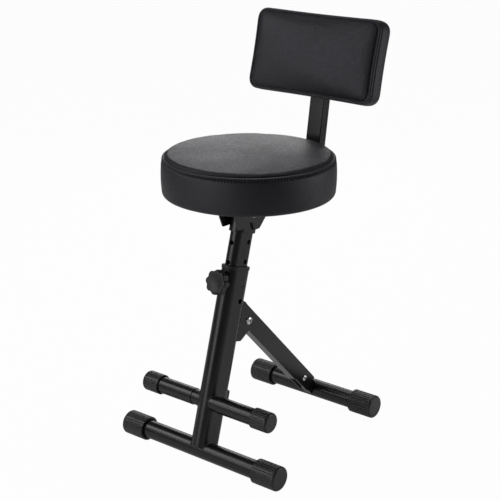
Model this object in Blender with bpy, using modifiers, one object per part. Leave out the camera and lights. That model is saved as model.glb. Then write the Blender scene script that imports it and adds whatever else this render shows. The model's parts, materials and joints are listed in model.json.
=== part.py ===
"""A folding guitar stool with a round padded seat, a padded backrest, a footrest and a hinged rear leg.

Metres, +Z up, +Y towards the back. The floor is Z = 0 and the stool is symmetric about X = 0.
Leg pieces are placed in the frame of the leaning leg: its origin is on the leg's axis at the height of
the base tubes' axes, its Z runs up the leg and its Y points out of the leg's back.
"""

import math

import bmesh
import bpy
from mathutils import Matrix, Vector

# Clearances
TOUCH = 0.0003  # between pieces that bear on each other
BOLT_PLAY = 0.0003  # round a bolt in its hole

# Base tubes and their ribbed rubber feet
BASE_DIAMETER = 0.035
BASE_WALL = 0.0015
FRONT_BASE_LENGTH = 0.372
REAR_BASE_LENGTH = 0.305
STANCE = 0.353  # front base axis to rear base axis
FOOT_DIAMETER = 0.0465
FOOT_LENGTH = 0.052
FOOT_END_WALL = 0.006
FOOT_RIBS = 14
RIB_DEPTH = 0.0011
RIB_CREST_SHARE = 0.56  # of a rib's pitch
RIB_ROOT_SHARE = 0.6  # of the gap between two crests
FOOT_RIM = 0.003  # rounding of the smooth end disc

# Leg: a flat-oval tube that stands on the front base and leans back
FRONT_BASE_Y = -0.1869
LEG_SETBACK = 0.0058  # leg's axis behind the front base axis
LEG_LEAN = math.radians(16.0)
LEG_WIDTH = 0.035
LEG_DEPTH = 0.060
LEG_WALL = 0.0015
LEG_LENGTH = 0.3425
LEG_START = 0.007  # lower edge, up the leg from the height of the base axis
PIN_HOLE_DIAMETER = 0.010
PIN_HOLE_DROP = 0.0575  # below the leg's top
PIN_HOLE_SETBACK = 0.0085

# Guide bush in the leg's mouth, and the post that slides in it
BUSH_WALL = 0.0025
BUSH_SKIRT = 0.018
BUSH_FLANGE = 0.007
BUSH_LIP = 0.001
POST_WALL = 0.0015
POST_IN_LEG = 0.177
HOLE_PITCH = 0.037
HOLE_DIAMETER = 0.009
HOLES_BELOW_KNOB = 3
HOLES_ABOVE_KNOB = 2
SIDE_HOLES_BELOW_PIN = 2
SIDE_HOLES_ABOVE_PIN = 3
GLIDE_FLANGE = 0.004
GLIDE_SPIGOT = 0.015
GLIDE_WALL = 0.002

# Clamp knob on the leg's front
KNOB_DROP = 0.025  # below the leg's top
KNOB_DIAMETER = 0.047
KNOB_THICKNESS = 0.0175
KNOB_LOBES = 8
KNOB_LOBE_DEPTH = 0.0026
KNOB_FRONT_LOBE_DEPTH = 0.0021  # where the lobes run out at the front edge
KNOB_LOBE_ROUNDNESS = 0.8
KNOB_DISH_DIAMETER = 0.031
KNOB_DISH_DEPTH = 0.0025
KNOB_DISH_FLOOR = 0.0155
KNOB_HUB_DIAMETER = 0.024
KNOB_HUB_HEIGHT = 0.003
KNOB_EDGE = 0.0018
KNOB_FRONT_FALL = 0.0006
KNOB_BORE_DEPTH = 0.011
BOSS_DIAMETER = 0.018
BOSS_HEIGHT = 0.0055
BOSS_SADDLE = 0.0075  # depth that is coped to the leg's round front
STUD_DIAMETER = 0.008
STUD_TIP_GAP = 0.0004
STUD_TIP_DIAMETER = 0.006
STUD_TIP_CHAMFER = 0.001

# Footrest: a stub through the leg carries a sleeve and a ribbed cap on each side
FOOTREST_HEIGHT = 0.092  # up the leg
FOOTREST_FORWARD = 0.013
FOOTREST_LENGTH = 0.301
FOOTREST_DIAMETER = 0.032
FOOTREST_WALL = 0.001
FOOTREST_STANDOFF = 0.013  # bare stub between the leg and a sleeve
STUB_WALL = 0.0015
STUB_IN_SLEEVE = 0.035
CAP_DIAMETER = 0.0385
CAP_LENGTH = 0.038
CAP_END_WALL = 0.005
CAP_RIBS = 12

# Hinge of the rear leg: two ears behind the leg with the channel strut between them
PIVOT_HEIGHT = 0.2472  # up the leg
PIVOT_SETBACK = 0.022  # behind the leg's back
EAR_THICKNESS = 0.0025
EAR_APEX_RADIUS = 0.018
EAR_TOP_RADIUS = 0.006
EAR_BOTTOM_RADIUS = 0.009
EAR_REACH_UP = 0.030
EAR_REACH_DOWN = 0.031
EAR_SIDE_PLAY = 0.0004
HINGE_BOLT_DIAMETER = 0.008
HINGE_HEAD_DIAMETER = 0.016
HINGE_HEAD_HEIGHT = 0.0045
HINGE_NUT_WIDTH = 0.013
HINGE_NUT_HEIGHT = 0.0065
STRUT_WIDTH = 0.020
STRUT_DEPTH = 0.035
STRUT_WALL = 0.002
STRUT_LENGTH = 0.290  # pivot to the lower end of the flanges
WEB_LENGTH = 0.232  # pivot to the lower end of the web
PIVOT_TO_WEB = 0.0135
STRUT_HEEL = 0.055  # above the pivot, before the end is trimmed to bear on the leg's back
STOP_GAP = 0.0004  # strut's trimmed end to the leg's back
REAR_BASE_OFFSET = 0.0095  # rear base axis from the line through the pivot along the strut
SPACER_DIAMETER = 0.013
LUG_LENGTH = 0.082  # lug's free end to the rear base axis
LUG_DEPTH = 0.024
LUG_BURIED = 0.0064  # above the rear base axis, before it is coped to the tube
STRUT_BOLT_AT = 0.258  # from the pivot
STRUT_BOLT_OFFSET = 0.004
STRUT_BOLT_DIAMETER = 0.006
STRUT_HEAD_DIAMETER = 0.0125
STRUT_HEAD_HEIGHT = 0.0036
STRUT_NUT_WIDTH = 0.010
STRUT_NUT_HEIGHT = 0.005

# Rest behind the leg that the folded strut's web lies on
REST_HEIGHT = 0.100  # up the leg
REST_LENGTH = 0.024
REST_WIDTH = 0.017
REST_WALL = 0.003
REST_CORNER = 0.005

# Button heads
HEAD_RIM_SHARE = 0.25  # of the head's height that is a straight rim
HEX_SOCKET_SHARE = 0.5  # of the head's diameter, over the socket's corners

# Seat carrier: a socket on the post between two cheeks under a plate
SEAT_UNDERSIDE = 0.490  # above the floor
PLATE_LENGTH = 0.180
PLATE_WIDTH = 0.140
PLATE_THICKNESS = 0.003
PLATE_CORNER = 0.015
SOCKET_LENGTH = 0.073
SOCKET_WALL = 0.0035
POST_BELOW_PLATE = 0.014
CHEEK_THICKNESS = 0.003
CHEEK_CORNER = 0.003
CHEEK_FRONT_TOP = 0.075  # ahead of the seat's centre
CHEEK_FRONT_TIP = 0.053
CHEEK_NOTCH_FRONT = 0.029
CHEEK_NOTCH_REAR = 0.009
CHEEK_REAR_LEG = 0.007  # behind the seat's centre
CHEEK_TIP_DROP = 0.056  # below the seat's underside
CHEEK_NOTCH_DROP = 0.049
CHEEK_LEG_DROP = 0.066
CHEEK_STRIP_DROP = 0.029
CHEEK_STRIP_END = 0.096
SOCKET_BOLT_DROP = 0.036  # below the seat's underside, along the post
M8_DIAMETER = 0.008
M8_HEAD_DIAMETER = 0.014
M8_HEAD_HEIGHT = 0.0045
M8_NUT_WIDTH = 0.013
M8_NUT_HEIGHT = 0.0065

# Seat
SEAT_DIAMETER = 0.320
SEAT_SEAM_DIAMETER = 0.311
SEAT_SEAM_HEIGHT = 0.0735  # above the seat's underside
SEAT_CROWN = 0.0075
SEAT_CROWN_POWER = 4  # the higher, the flatter the middle of the top
SEAT_PANEL_SHARES = (0.0, 0.45, 0.7, 0.86, 0.95, 1.0)  # of the top panel's radius
SEAT_BAND_SHARES = (0.88, 0.6, 0.35)  # of the band's height
SEAT_BOTTOM_ROUND = 0.0075
SEAT_BOTTOM_LIFT = 0.0006  # pad's underside above the board's
SEAT_PIPING = 0.0022
SEAT_GROOVE_DROP = 0.0035  # below the seam
PIPING_START = math.radians(135)
PIPING_END = math.radians(-72)
BOARD_DIAMETER = 0.296
BOARD_THICKNESS = 0.012
SCREW_DIAMETER = 0.006
SCREW_HEAD_DIAMETER = 0.012
SCREW_HEAD_HEIGHT = 0.0035
SCREW_DEPTH = 0.009  # in the board
SCREW_EDGE = 0.016  # in from the plate's edges

# Backrest post: a rectangular tube, bent up behind the seat
ARM_DEPTH = 0.022
ARM_WALL = 0.0015
ARM_CORNER = 0.003
ARM_START = 0.034  # behind the seat's centre
UPRIGHT_CLEAR = 0.0335  # seat's rear edge to the upright's axis at the arm
UPRIGHT_LEAN = math.radians(9.0)
UPRIGHT_BEND_RADIUS = 0.036
UPPER_BEND_HEIGHT = 0.142  # above the seat's underside
UPPER_BEND_RADIUS = 0.120
BACKREST_LEAN = math.radians(13.5)
UPPER_LENGTH = 0.119  # upper bend to the tube's top end
ARM_BOLT_DIAMETER = 0.006
ARM_BOLT_FIRST = 0.014  # from the arm's front end
ARM_BOLT_PITCH = 0.032
ARM_HEAD_DIAMETER = 0.0125
ARM_HEAD_HEIGHT = 0.0036
ARM_NUT_WIDTH = 0.010
ARM_NUT_HEIGHT = 0.005
PLUG_FLANGE = 0.0025
PLUG_CHAMFER = 0.0008
PLUG_SPIGOT = 0.010
PLUG_WALL = 0.002

# Backrest
BACKREST_WIDTH = 0.277  # at the seam
BACKREST_HEIGHT = 0.1485
BACKREST_CORNER = 0.016
BACKREST_LEAST_CORNER = 0.006
BACKREST_BAND = 0.034  # seam to the flat back
BACKREST_CROWN = 0.008
BACKREST_CROWN_POWER = 3
BACKREST_PANEL_SHARES = (0.08, 0.22, 0.45, 0.75)  # of the way in from the panel's edge
BACKREST_BULGE = 0.005
BACKREST_BACK_BULGE = 0.0032  # where the band rounds over to the back
BACKREST_BULGE_SHARES = (0.35, 0.65)  # of the band
BACKREST_GROOVE = 0.003  # behind the seam
BACKREST_PIPING = 0.002
BACKREST_DRAW = 0.0015  # how far the sides pull in between the corners
BACKREST_UP = 0.0765  # upper bend to the middle of the pad
BACK_BOARD_INSET = 0.012
BACK_BOARD_THICKNESS = 0.009
BACK_SCREW_SPREAD = 0.050

# Fineness of round shapes
ROUND_STEPS = 32
HOLE_STEPS = 12
BOLT_STEPS = 10
ARC_STEPS = 9
CORNER_STEPS = 3
COLLAR_STEPS = 20
LOBE_STEPS = 5
PIPING_STEPS = 4
DOME_STEPS = 4
UPRIGHT_BEND_STEPS = 6
UPPER_BEND_STEPS = 2
PAD_SIDE_POINTS = 3
SEAT_STEPS = 44
HEX_SIDES = 6
SHARP_EDGE = math.radians(35)  # edges turned more than this stay sharp
MERGE_DISTANCE = 0.00001

# Places that follow from the sizes above
RIB_HALF_CREST = math.pi * RIB_CREST_SHARE / FOOT_RIBS
BASE_AXIS_Z = FOOT_DIAMETER / 2 * math.cos(RIB_HALF_CREST)
FRONT_BASE_CENTRE = (0.0, FRONT_BASE_Y, BASE_AXIS_Z)
LEG_FOOT_Y = FRONT_BASE_Y + LEG_SETBACK
LEG_BACK = LEG_DEPTH / 2
POST_INSET = LEG_WALL + BUSH_WALL + 2 * TOUCH
POST_WIDTH = LEG_WIDTH - 2 * POST_INSET
POST_DEPTH = LEG_DEPTH - 2 * POST_INSET
POST_BOTTOM = LEG_LENGTH - POST_IN_LEG
KNOB_Z = LEG_LENGTH - KNOB_DROP
PIN_Z = LEG_LENGTH - PIN_HOLE_DROP
STUB_DIAMETER = FOOTREST_DIAMETER - 2 * (FOOTREST_WALL + TOUCH)
SLEEVE_START = LEG_WIDTH / 2 + FOOTREST_STANDOFF
EAR_INNER = STRUT_WIDTH / 2 + EAR_SIDE_PLAY
EAR_OUTER = EAR_INNER + EAR_THICKNESS
SEAT_ON_LEG = (SEAT_UNDERSIDE - BASE_AXIS_Z) / math.cos(LEG_LEAN)
SEAT_Y = LEG_FOOT_Y + SEAT_ON_LEG * math.sin(LEG_LEAN)
PLATE_BOTTOM = -PLATE_THICKNESS - TOUCH  # below the seat's underside
SOCKET_WIDTH = POST_WIDTH + 2 * (TOUCH + SOCKET_WALL)
SOCKET_DEPTH = POST_DEPTH + 2 * (TOUCH + SOCKET_WALL)
CHEEK_INNER = SOCKET_WIDTH / 2 + TOUCH
CHEEK_OUTER = CHEEK_INNER + CHEEK_THICKNESS
ARM_WIDTH = 2 * (CHEEK_INNER - TOUCH)
ARM_Z = PLATE_BOTTOM - TOUCH - ARM_DEPTH / 2
UPRIGHT_Y = SEAT_DIAMETER / 2 + UPRIGHT_CLEAR

# Colours, roughness and metallic values
FINISHES = {
    "satin_black_steel": ((0.012, 0.012, 0.013), 0.38, 0.6),
    "black_rubber": ((0.016, 0.016, 0.016), 0.75, 0.0),
    "black_plastic": ((0.014, 0.014, 0.015), 0.5, 0.0),
    "bright_zinc": ((0.62, 0.63, 0.65), 0.28, 1.0),
    "black_leather": ((0.016, 0.016, 0.017), 0.48, 0.0),
    "plywood": ((0.03, 0.028, 0.026), 0.7, 0.0),
}


def clear_scene():
    for obj in list(bpy.data.objects):
        bpy.data.objects.remove(obj, do_unlink=True)


def new_collection(name):
    collection = bpy.data.collections.new(name)
    bpy.context.scene.collection.children.link(collection)
    return collection


def make_finishes():
    for name, (colour, roughness, metallic) in FINISHES.items():
        finish = bpy.data.materials.new(name)
        finish.use_nodes = True
        shader = finish.node_tree.nodes["Principled BSDF"]
        shader.inputs["Base Color"].default_value = (*colour, 1.0)
        shader.inputs["Roughness"].default_value = roughness
        shader.inputs["Metallic"].default_value = metallic


def empty(name, location, tilt=0.0, parent=None):
    """An axis marker, turned about X by tilt, that carries the pieces built in its frame."""
    marker = bpy.data.objects.new(name, None)
    marker.location = location
    marker.rotation_euler = (tilt, 0.0, 0.0)
    marker.parent = parent
    PARTS.objects.link(marker)
    return marker


def piece(name, mesh, parent, finish, place=Matrix()):
    obj = bpy.data.objects.new(name, mesh)
    obj.parent = parent
    obj.matrix_basis = place
    mesh.materials.append(bpy.data.materials[finish])
    mesh.shade_smooth()
    mesh.set_sharp_from_angle(angle=SHARP_EDGE)
    PARTS.objects.link(obj)
    return obj


def cutter(name, mesh, parent, place=Matrix()):
    obj = bpy.data.objects.new(name, mesh)
    obj.parent = parent
    obj.matrix_basis = place
    obj.hide_render = True
    obj.display_type = "WIRE"
    CUTTERS.objects.link(obj)
    return obj


def boolean(target, tool, operation="DIFFERENCE"):
    modifier = target.modifiers.new(operation.lower() + "_" + tool.name, "BOOLEAN")
    modifier.operation = operation
    modifier.object = tool


def mesh_from(name, shape):
    mesh = bpy.data.meshes.new(name)
    shape.to_mesh(mesh)
    shape.free()
    return mesh


def along(axis, centre=(0.0, 0.0, 0.0)):
    """A place whose local Z points along the named axis, at centre."""
    turns = {
        "+X": Matrix.Rotation(math.pi / 2, 4, "Y"),
        "-X": Matrix.Rotation(-math.pi / 2, 4, "Y"),
        "+Y": Matrix.Rotation(-math.pi / 2, 4, "X"),
        "-Y": Matrix.Rotation(math.pi / 2, 4, "X"),
        "+Z": Matrix(),
        "-Z": Matrix.Rotation(math.pi, 4, "X"),
    }
    return Matrix.Translation(centre) @ turns[axis]


def rods(name, parent, axis, centres, radius, length, sides=HOLE_STEPS):
    """A cutter of one or more straight rods, each centred on a point."""
    shape = bmesh.new()
    for centre in centres:
        bmesh.ops.create_cone(
            shape,
            cap_ends=True,
            segments=sides,
            radius1=radius,
            radius2=radius,
            depth=length,
            matrix=along(axis, centre),
        )
    return cutter(name, mesh_from(name, shape), parent)


def block(name, parent, low, high):
    """A box cutter between two corners."""
    low, high = Vector(low), Vector(high)
    shape = bmesh.new()
    scale = Matrix.Diagonal((*(high - low), 1.0))
    bmesh.ops.create_cube(shape, size=1.0, matrix=Matrix.Translation((low + high) / 2) @ scale)
    return cutter(name, mesh_from(name, shape), parent)


def arc(centre, radius, start, end, steps):
    """Points of a flat arc, angles in radians, both ends included."""
    for step in range(steps + 1):
        angle = start + (end - start) * step / steps
        yield centre[0] + radius * math.cos(angle), centre[1] + radius * math.sin(angle)


def stadium(width, depth, z):
    """A flat-oval ring: round ends at front and back, flat sides."""
    radius = width / 2
    half_flat = (depth - width) / 2
    points = list(arc((0, half_flat), radius, 0, math.pi, ARC_STEPS))
    points += arc((0, -half_flat), radius, math.pi, 2 * math.pi, ARC_STEPS)
    return [Vector((x, y, z)) for x, y in points]


def rounded_corners(width, height, radius, side_points=0, draw_in=0.0):
    """A rectangle with round corners, whose sides can hold more points and pull in between the corners."""
    half_x, half_y = width / 2 - radius, height / 2 - radius
    corners = [(half_x, half_y), (-half_x, half_y), (-half_x, -half_y), (half_x, -half_y)]
    points = []
    for turn, corner in enumerate(corners):
        start = turn * math.pi / 2
        points += arc(corner, radius, start, start + math.pi / 2, CORNER_STEPS)
        first = Vector(points[-1])
        last = Vector(next(arc(corners[(turn + 1) % 4], radius, start + math.pi / 2, start, 1)))
        inward = Vector((-math.cos(start + math.pi / 2), -math.sin(start + math.pi / 2)))
        for step in range(1, side_points + 1):
            share = step / (side_points + 1)
            points.append(tuple(first.lerp(last, share) + inward * draw_in * math.sin(math.pi * share)))
    return points


def loft(rings, closed=False):
    """A mesh through rings of equally many points: capped at both ends, or closed into a tube wall."""
    shape = bmesh.new()
    rows = [[shape.verts.new(point) for point in ring] for ring in rings]
    pairs = list(zip(rows, rows[1:]))
    if closed:
        pairs.append((rows[-1], rows[0]))
    else:
        shape.faces.new(rows[0])
        shape.faces.new(rows[-1])
    for row, following in pairs:
        row_on = row[1:] + row[:1]
        following_on = following[1:] + following[:1]
        for corners in zip(row, following, following_on, row_on):
            shape.faces.new(corners)
    bmesh.ops.recalc_face_normals(shape, faces=shape.faces)
    return mesh_from("loft", shape)


def oval_wall(width, depth, profile):
    """A closed wall round a flat oval, from (outward offset, height) points."""
    return loft([stadium(width + 2 * out, depth + 2 * out, z) for out, z in profile], closed=True)


def oval_solid(name, parent, width, depth, low, high):
    """A cutter filling a flat oval between two heights."""
    return cutter(name, loft([stadium(width, depth, low), stadium(width, depth, high)]), parent)


def turned(name, profile, parent, finish, place=Matrix(), steps=ROUND_STEPS, ring=False):
    """A turned piece from (radius, height) points, listed down its outer side."""
    shape = bmesh.new()
    points = [shape.verts.new((radius, 0.0, height)) for radius, height in profile]
    for upper, lower in zip(points, points[1:]):
        shape.edges.new((upper, lower))
    if ring:
        shape.edges.new((points[-1], points[0]))
    obj = piece(name, mesh_from(name, shape), parent, finish, place)
    screw = obj.modifiers.new("turn", "SCREW")
    screw.steps = steps
    screw.render_steps = steps
    screw.use_merge_vertices = True
    screw.merge_threshold = MERGE_DISTANCE
    screw.use_smooth_shade = True
    return obj


def round_tube(name, diameter, wall, start, end, parent, finish, place):
    """A round tube along the place's Z, from start to end."""
    outer, inner = diameter / 2, diameter / 2 - wall
    profile = [(outer, end), (outer, start), (inner, start), (inner, end)]
    return turned(name, profile, parent, finish, place, ring=True)


def plate(name, outlines, thickness, parent, finish, place):
    """A flat plate centred on the place's XY plane. Its first outline is the edge and the rest are holes."""
    curve = bpy.data.curves.new(name + "_outline", "CURVE")
    curve.dimensions = "2D"
    curve.fill_mode = "BOTH"
    curve.extrude = thickness / 2
    for outline in outlines:
        spline = curve.splines.new("POLY")
        spline.points.add(len(outline) - 1)
        for point, (x, y) in zip(spline.points, outline):
            point.co = (x, y, 0.0, 1.0)
        spline.use_cyclic_u = True
    drawn = bpy.data.objects.new(name + "_outline", curve)
    bpy.context.scene.collection.objects.link(drawn)
    graph = bpy.context.evaluated_depsgraph_get()
    mesh = bpy.data.meshes.new_from_object(drawn.evaluated_get(graph))
    bpy.data.objects.remove(drawn, do_unlink=True)
    shape = bmesh.new()
    shape.from_mesh(mesh)
    bmesh.ops.remove_doubles(shape, verts=shape.verts, dist=MERGE_DISTANCE)
    bmesh.ops.recalc_face_normals(shape, faces=shape.faces)
    shape.to_mesh(mesh)
    shape.free()
    mesh.materials.clear()
    return piece(name, mesh, parent, finish, place)


def circle(centre, radius, steps=HOLE_STEPS):
    return list(arc(centre, radius, 0, 2 * math.pi, steps))[:-1]


def filleted(corners, radius):
    """A closed outline whose corners are rounded with arcs of the given radius."""
    points = []
    for before, corner, after in zip(corners[-1:] + corners[:-1], corners, corners[1:] + corners[:1]):
        corner = Vector(corner)
        back = (Vector(before) - corner).normalized()
        on = (Vector(after) - corner).normalized()
        half_angle = back.angle(on) / 2
        centre = corner + (back + on).normalized() * radius / math.sin(half_angle)
        start = (corner + back * radius / math.tan(half_angle)) - centre
        sweep = start.angle_signed((corner + on * radius / math.tan(half_angle)) - centre)
        first = math.atan2(start.y, start.x)
        points += arc(centre, radius, first, first - sweep, CORNER_STEPS)
    return points


def hull_of_circles(circles):
    """The outline of a band drawn tight round circles given as (centre, radius), listed anticlockwise."""
    points = sorted(point for centre, radius in circles for point in circle(centre, radius, 4 * ARC_STEPS))
    hull = []
    for ordered in (points, points[::-1]):
        side = []
        for x, y in ordered:
            while len(side) > 1 and not left_turn(side[-2], side[-1], (x, y)):
                side.pop()
            side.append((x, y))
        hull += side[:-1]
    return hull


def left_turn(first, middle, last):
    across = (middle[0] - first[0]) * (last[1] - first[1])
    return across - (middle[1] - first[1]) * (last[0] - first[0]) > 0


def bolt(name, head, head_height, shank, length, parent, place):
    """A button-head bolt: the head stands above the place's XY plane, the shank runs down from it."""
    rim = head_height * HEAD_RIM_SHARE
    dome = arc((0, 0), 1.0, math.pi / 2, 0, DOME_STEPS)
    profile = [(head / 2 * x, rim + (head_height - rim) * y) for x, y in dome]
    profile += [(head / 2, 0.0), (shank / 2, 0.0), (shank / 2, -length), (0.0, -length)]
    made = turned(name, profile, parent, "bright_zinc", place, steps=BOLT_STEPS)
    socket_radius = head * HEX_SOCKET_SHARE / 2
    socket = bmesh.new()
    bmesh.ops.create_cone(
        socket,
        cap_ends=True,
        segments=HEX_SIDES,
        radius1=socket_radius,
        radius2=socket_radius,
        depth=head_height,
        matrix=Matrix.Translation((0.0, 0.0, head_height)),
    )
    boolean(made, cutter(name + "_socket", mesh_from(name + "_socket", socket), parent, place))
    return made


def nut(name, width, height, bore, parent, place):
    """A hexagon nut standing on the place's XY plane, with a plain bore."""
    corner_radius = width / 2 / math.cos(math.pi / HEX_SIDES)
    hexagon = circle((0, 0), corner_radius, HEX_SIDES)
    raised = place @ Matrix.Translation((0.0, 0.0, height / 2))
    return plate(name, [hexagon, circle((0, 0), bore / 2)], height, parent, "bright_zinc", raised)


def rib_ring(radius, depth, ribs, z):
    """A ribbed ring with flat crests, one of them facing -Y."""
    points = []
    pitch = 2 * math.pi / ribs
    half_crest = pitch * RIB_CREST_SHARE / 2
    half_root = pitch * (1 - RIB_CREST_SHARE) * RIB_ROOT_SHARE / 2
    for rib in range(ribs):
        middle = rib * pitch - math.pi / 2
        for angle, reach in (
            (middle - half_crest, radius),
            (middle + half_crest, radius),
            (middle + pitch / 2 - half_root, radius - depth),
            (middle + pitch / 2 + half_root, radius - depth),
        ):
            points.append(Vector((reach * math.cos(angle), reach * math.sin(angle), z)))
    return points


def ribbed_cap(name, diameter, length, end_wall, bore, ribs, parent, place):
    """A rubber cap whose open mouth is at the place's origin and whose closed end is at +Z."""
    radius = diameter / 2

    def ring(reach, z):
        return rib_ring(reach, 0.0, ribs, z)

    rings = [
        ring(bore / 2, length - end_wall),
        ring(bore / 2, 0.0),
        rib_ring(radius, RIB_DEPTH, ribs, 0.0),
        rib_ring(radius, RIB_DEPTH, ribs, length - FOOT_RIM),
        ring(radius - RIB_DEPTH, length - FOOT_RIM / 2),
        ring(radius - FOOT_RIM, length),
    ]
    return piece(name, loft(rings), parent, "black_rubber", place)


def both_sides():
    """Name ending, sign and axis of the left and right hand copies."""
    return (("left", -1.0, "-X"), ("right", 1.0, "+X"))


def cap_place(axis, centre):
    """A cap's place along an X axis with its first rib crest facing the floor."""
    return along(axis, centre) @ Matrix.Rotation(math.pi / 2 if axis == "-X" else -math.pi / 2, 4, "Z")


def base(name, length, prefix, parent, centre):
    """A base tube across the stool with a foot on each end."""
    tube_end = length / 2 - FOOT_END_WALL - TOUCH
    place = along("+X", centre)
    round_tube(name, BASE_DIAMETER, BASE_WALL, -tube_end, tube_end, parent, "satin_black_steel", place)
    for side, sign, axis in both_sides():
        mouth = Vector(centre) + Vector((sign * (length / 2 - FOOT_LENGTH), 0.0, 0.0))
        bore = BASE_DIAMETER + 2 * TOUCH
        place = cap_place(axis, mouth)
        foot = f"{prefix}_foot_{side}"
        ribbed_cap(foot, FOOT_DIAMETER, FOOT_LENGTH, FOOT_END_WALL, bore, FOOT_RIBS, parent, place)


def front_base():
    base("front_base_tube", FRONT_BASE_LENGTH, "front", STOOL, FRONT_BASE_CENTRE)


def leg_clearance(name, low, high):
    """A cutter that copes a piece to the leg's outside."""
    return oval_solid(name, LEG, LEG_WIDTH + 2 * TOUCH, LEG_DEPTH + 2 * TOUCH, low, high)


def leg():
    profile = [(0.0, LEG_LENGTH), (0.0, LEG_START), (-LEG_WALL, LEG_START), (-LEG_WALL, LEG_LENGTH)]
    tube = piece("leg_tube", oval_wall(LEG_WIDTH, LEG_DEPTH, profile), LEG, "satin_black_steel")
    across = 3 * LEG_WIDTH
    saddle_radius = BASE_DIAMETER / 2 + TOUCH
    saddle = rods("leg_saddle", STOOL, "+X", [FRONT_BASE_CENTRE], saddle_radius, across, ROUND_STEPS)
    boolean(tube, saddle)
    stub_centre = (0.0, -FOOTREST_FORWARD, FOOTREST_HEIGHT)
    stub_hole = rods("stub_hole", LEG, "+X", [stub_centre], STUB_DIAMETER / 2 + TOUCH, across, ROUND_STEPS)
    boolean(tube, stub_hole)
    pin_hole = rods("pin_hole", LEG, "+X", [(0.0, PIN_HOLE_SETBACK, PIN_Z)], PIN_HOLE_DIAMETER / 2, across)
    boolean(tube, pin_hole)
    boolean(tube, stud_hole("leg_stud_hole"))


def stud_hole(name):
    """A cutter along the knob's axis through the leg's front wall."""
    middle = (0.0, -LEG_BACK, KNOB_Z)
    return rods(name, LEG, "+Y", [middle], STUD_DIAMETER / 2 + 2 * TOUCH, LEG_DEPTH / 2)


def guide_bush():
    inner = -LEG_WALL - BUSH_WALL - TOUCH
    skirt = -LEG_WALL - TOUCH
    seat = LEG_LENGTH + TOUCH
    profile = [
        (BUSH_LIP, seat + BUSH_FLANGE - BUSH_LIP),
        (BUSH_LIP, seat),
        (skirt, seat),
        (skirt, LEG_LENGTH - BUSH_SKIRT),
        (inner, LEG_LENGTH - BUSH_SKIRT),
        (inner, seat + BUSH_FLANGE),
        (0.0, seat + BUSH_FLANGE),
    ]
    bush = piece("guide_bush", oval_wall(LEG_WIDTH, LEG_DEPTH, profile), LEG, "black_plastic")
    boolean(bush, stud_hole("bush_stud_hole"))


def clamp_knob():
    """The boss on the leg's front, the stud through it and the knob on the stud. Its frame's Z points out."""
    boss_profile = [
        (BOSS_DIAMETER / 2, BOSS_HEIGHT),
        (BOSS_DIAMETER / 2, -BOSS_SADDLE),
        (STUD_DIAMETER / 2 + TOUCH, -BOSS_SADDLE),
        (STUD_DIAMETER / 2 + TOUCH, BOSS_HEIGHT),
    ]
    boss_place = Matrix.Translation((0.0, -LEG_BACK, KNOB_Z)) @ along("-Y")
    steel = "satin_black_steel"
    boss = turned("knob_boss", boss_profile, LEG, steel, boss_place, steps=COLLAR_STEPS, ring=True)
    boolean(boss, leg_clearance("boss_cope", KNOB_Z - BOSS_DIAMETER, KNOB_Z + BOSS_DIAMETER))
    knob_back = BOSS_HEIGHT + 2 * TOUCH
    stud_radius = STUD_DIAMETER / 2
    tip = -(LEG_BACK - POST_DEPTH / 2) + STUD_TIP_GAP
    stud_top = knob_back + KNOB_BORE_DEPTH - TOUCH
    stud_profile = [(0.0, stud_top), (stud_radius, stud_top), (stud_radius, tip + STUD_TIP_CHAMFER)]
    stud_profile += [(STUD_TIP_DIAMETER / 2, tip), (0.0, tip)]
    turned("knob_stud", stud_profile, KNOB, "bright_zinc", steps=BOLT_STEPS)
    knob(knob_back)


def lobed_ring(radius, depth, z):
    """A ring of round lobes with hollows between them."""
    count = KNOB_LOBES * LOBE_STEPS
    points = []
    for step in range(count):
        angle = 2 * math.pi * step / count
        hollow = 1 - abs(math.cos(KNOB_LOBES * angle / 2))
        reach = radius - depth * hollow**KNOB_LOBE_ROUNDNESS
        points.append(Vector((reach * math.cos(angle), reach * math.sin(angle), z)))
    return points


def knob(back):
    radius = KNOB_DIAMETER / 2
    front = back + KNOB_THICKNESS
    bore = STUD_DIAMETER / 2 + TOUCH
    rim = back + KNOB_HUB_HEIGHT
    rings = [
        lobed_ring(bore, 0.0, back + KNOB_BORE_DEPTH),
        lobed_ring(bore, 0.0, back),
        lobed_ring(KNOB_HUB_DIAMETER / 2, 0.0, back),
        lobed_ring(KNOB_HUB_DIAMETER / 2, 0.0, rim),
        lobed_ring(radius - KNOB_EDGE, KNOB_LOBE_DEPTH, rim),
        lobed_ring(radius, KNOB_LOBE_DEPTH, rim + KNOB_EDGE),
        lobed_ring(radius, KNOB_LOBE_DEPTH, front - 2 * KNOB_EDGE),
        lobed_ring(radius - KNOB_EDGE, KNOB_FRONT_LOBE_DEPTH, front - KNOB_FRONT_FALL),
        lobed_ring(KNOB_DISH_DIAMETER / 2, 0.0, front),
        lobed_ring(KNOB_DISH_FLOOR / 2, 0.0, front - KNOB_DISH_DEPTH),
    ]
    piece("height_knob", loft(rings), KNOB, "black_plastic")


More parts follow.
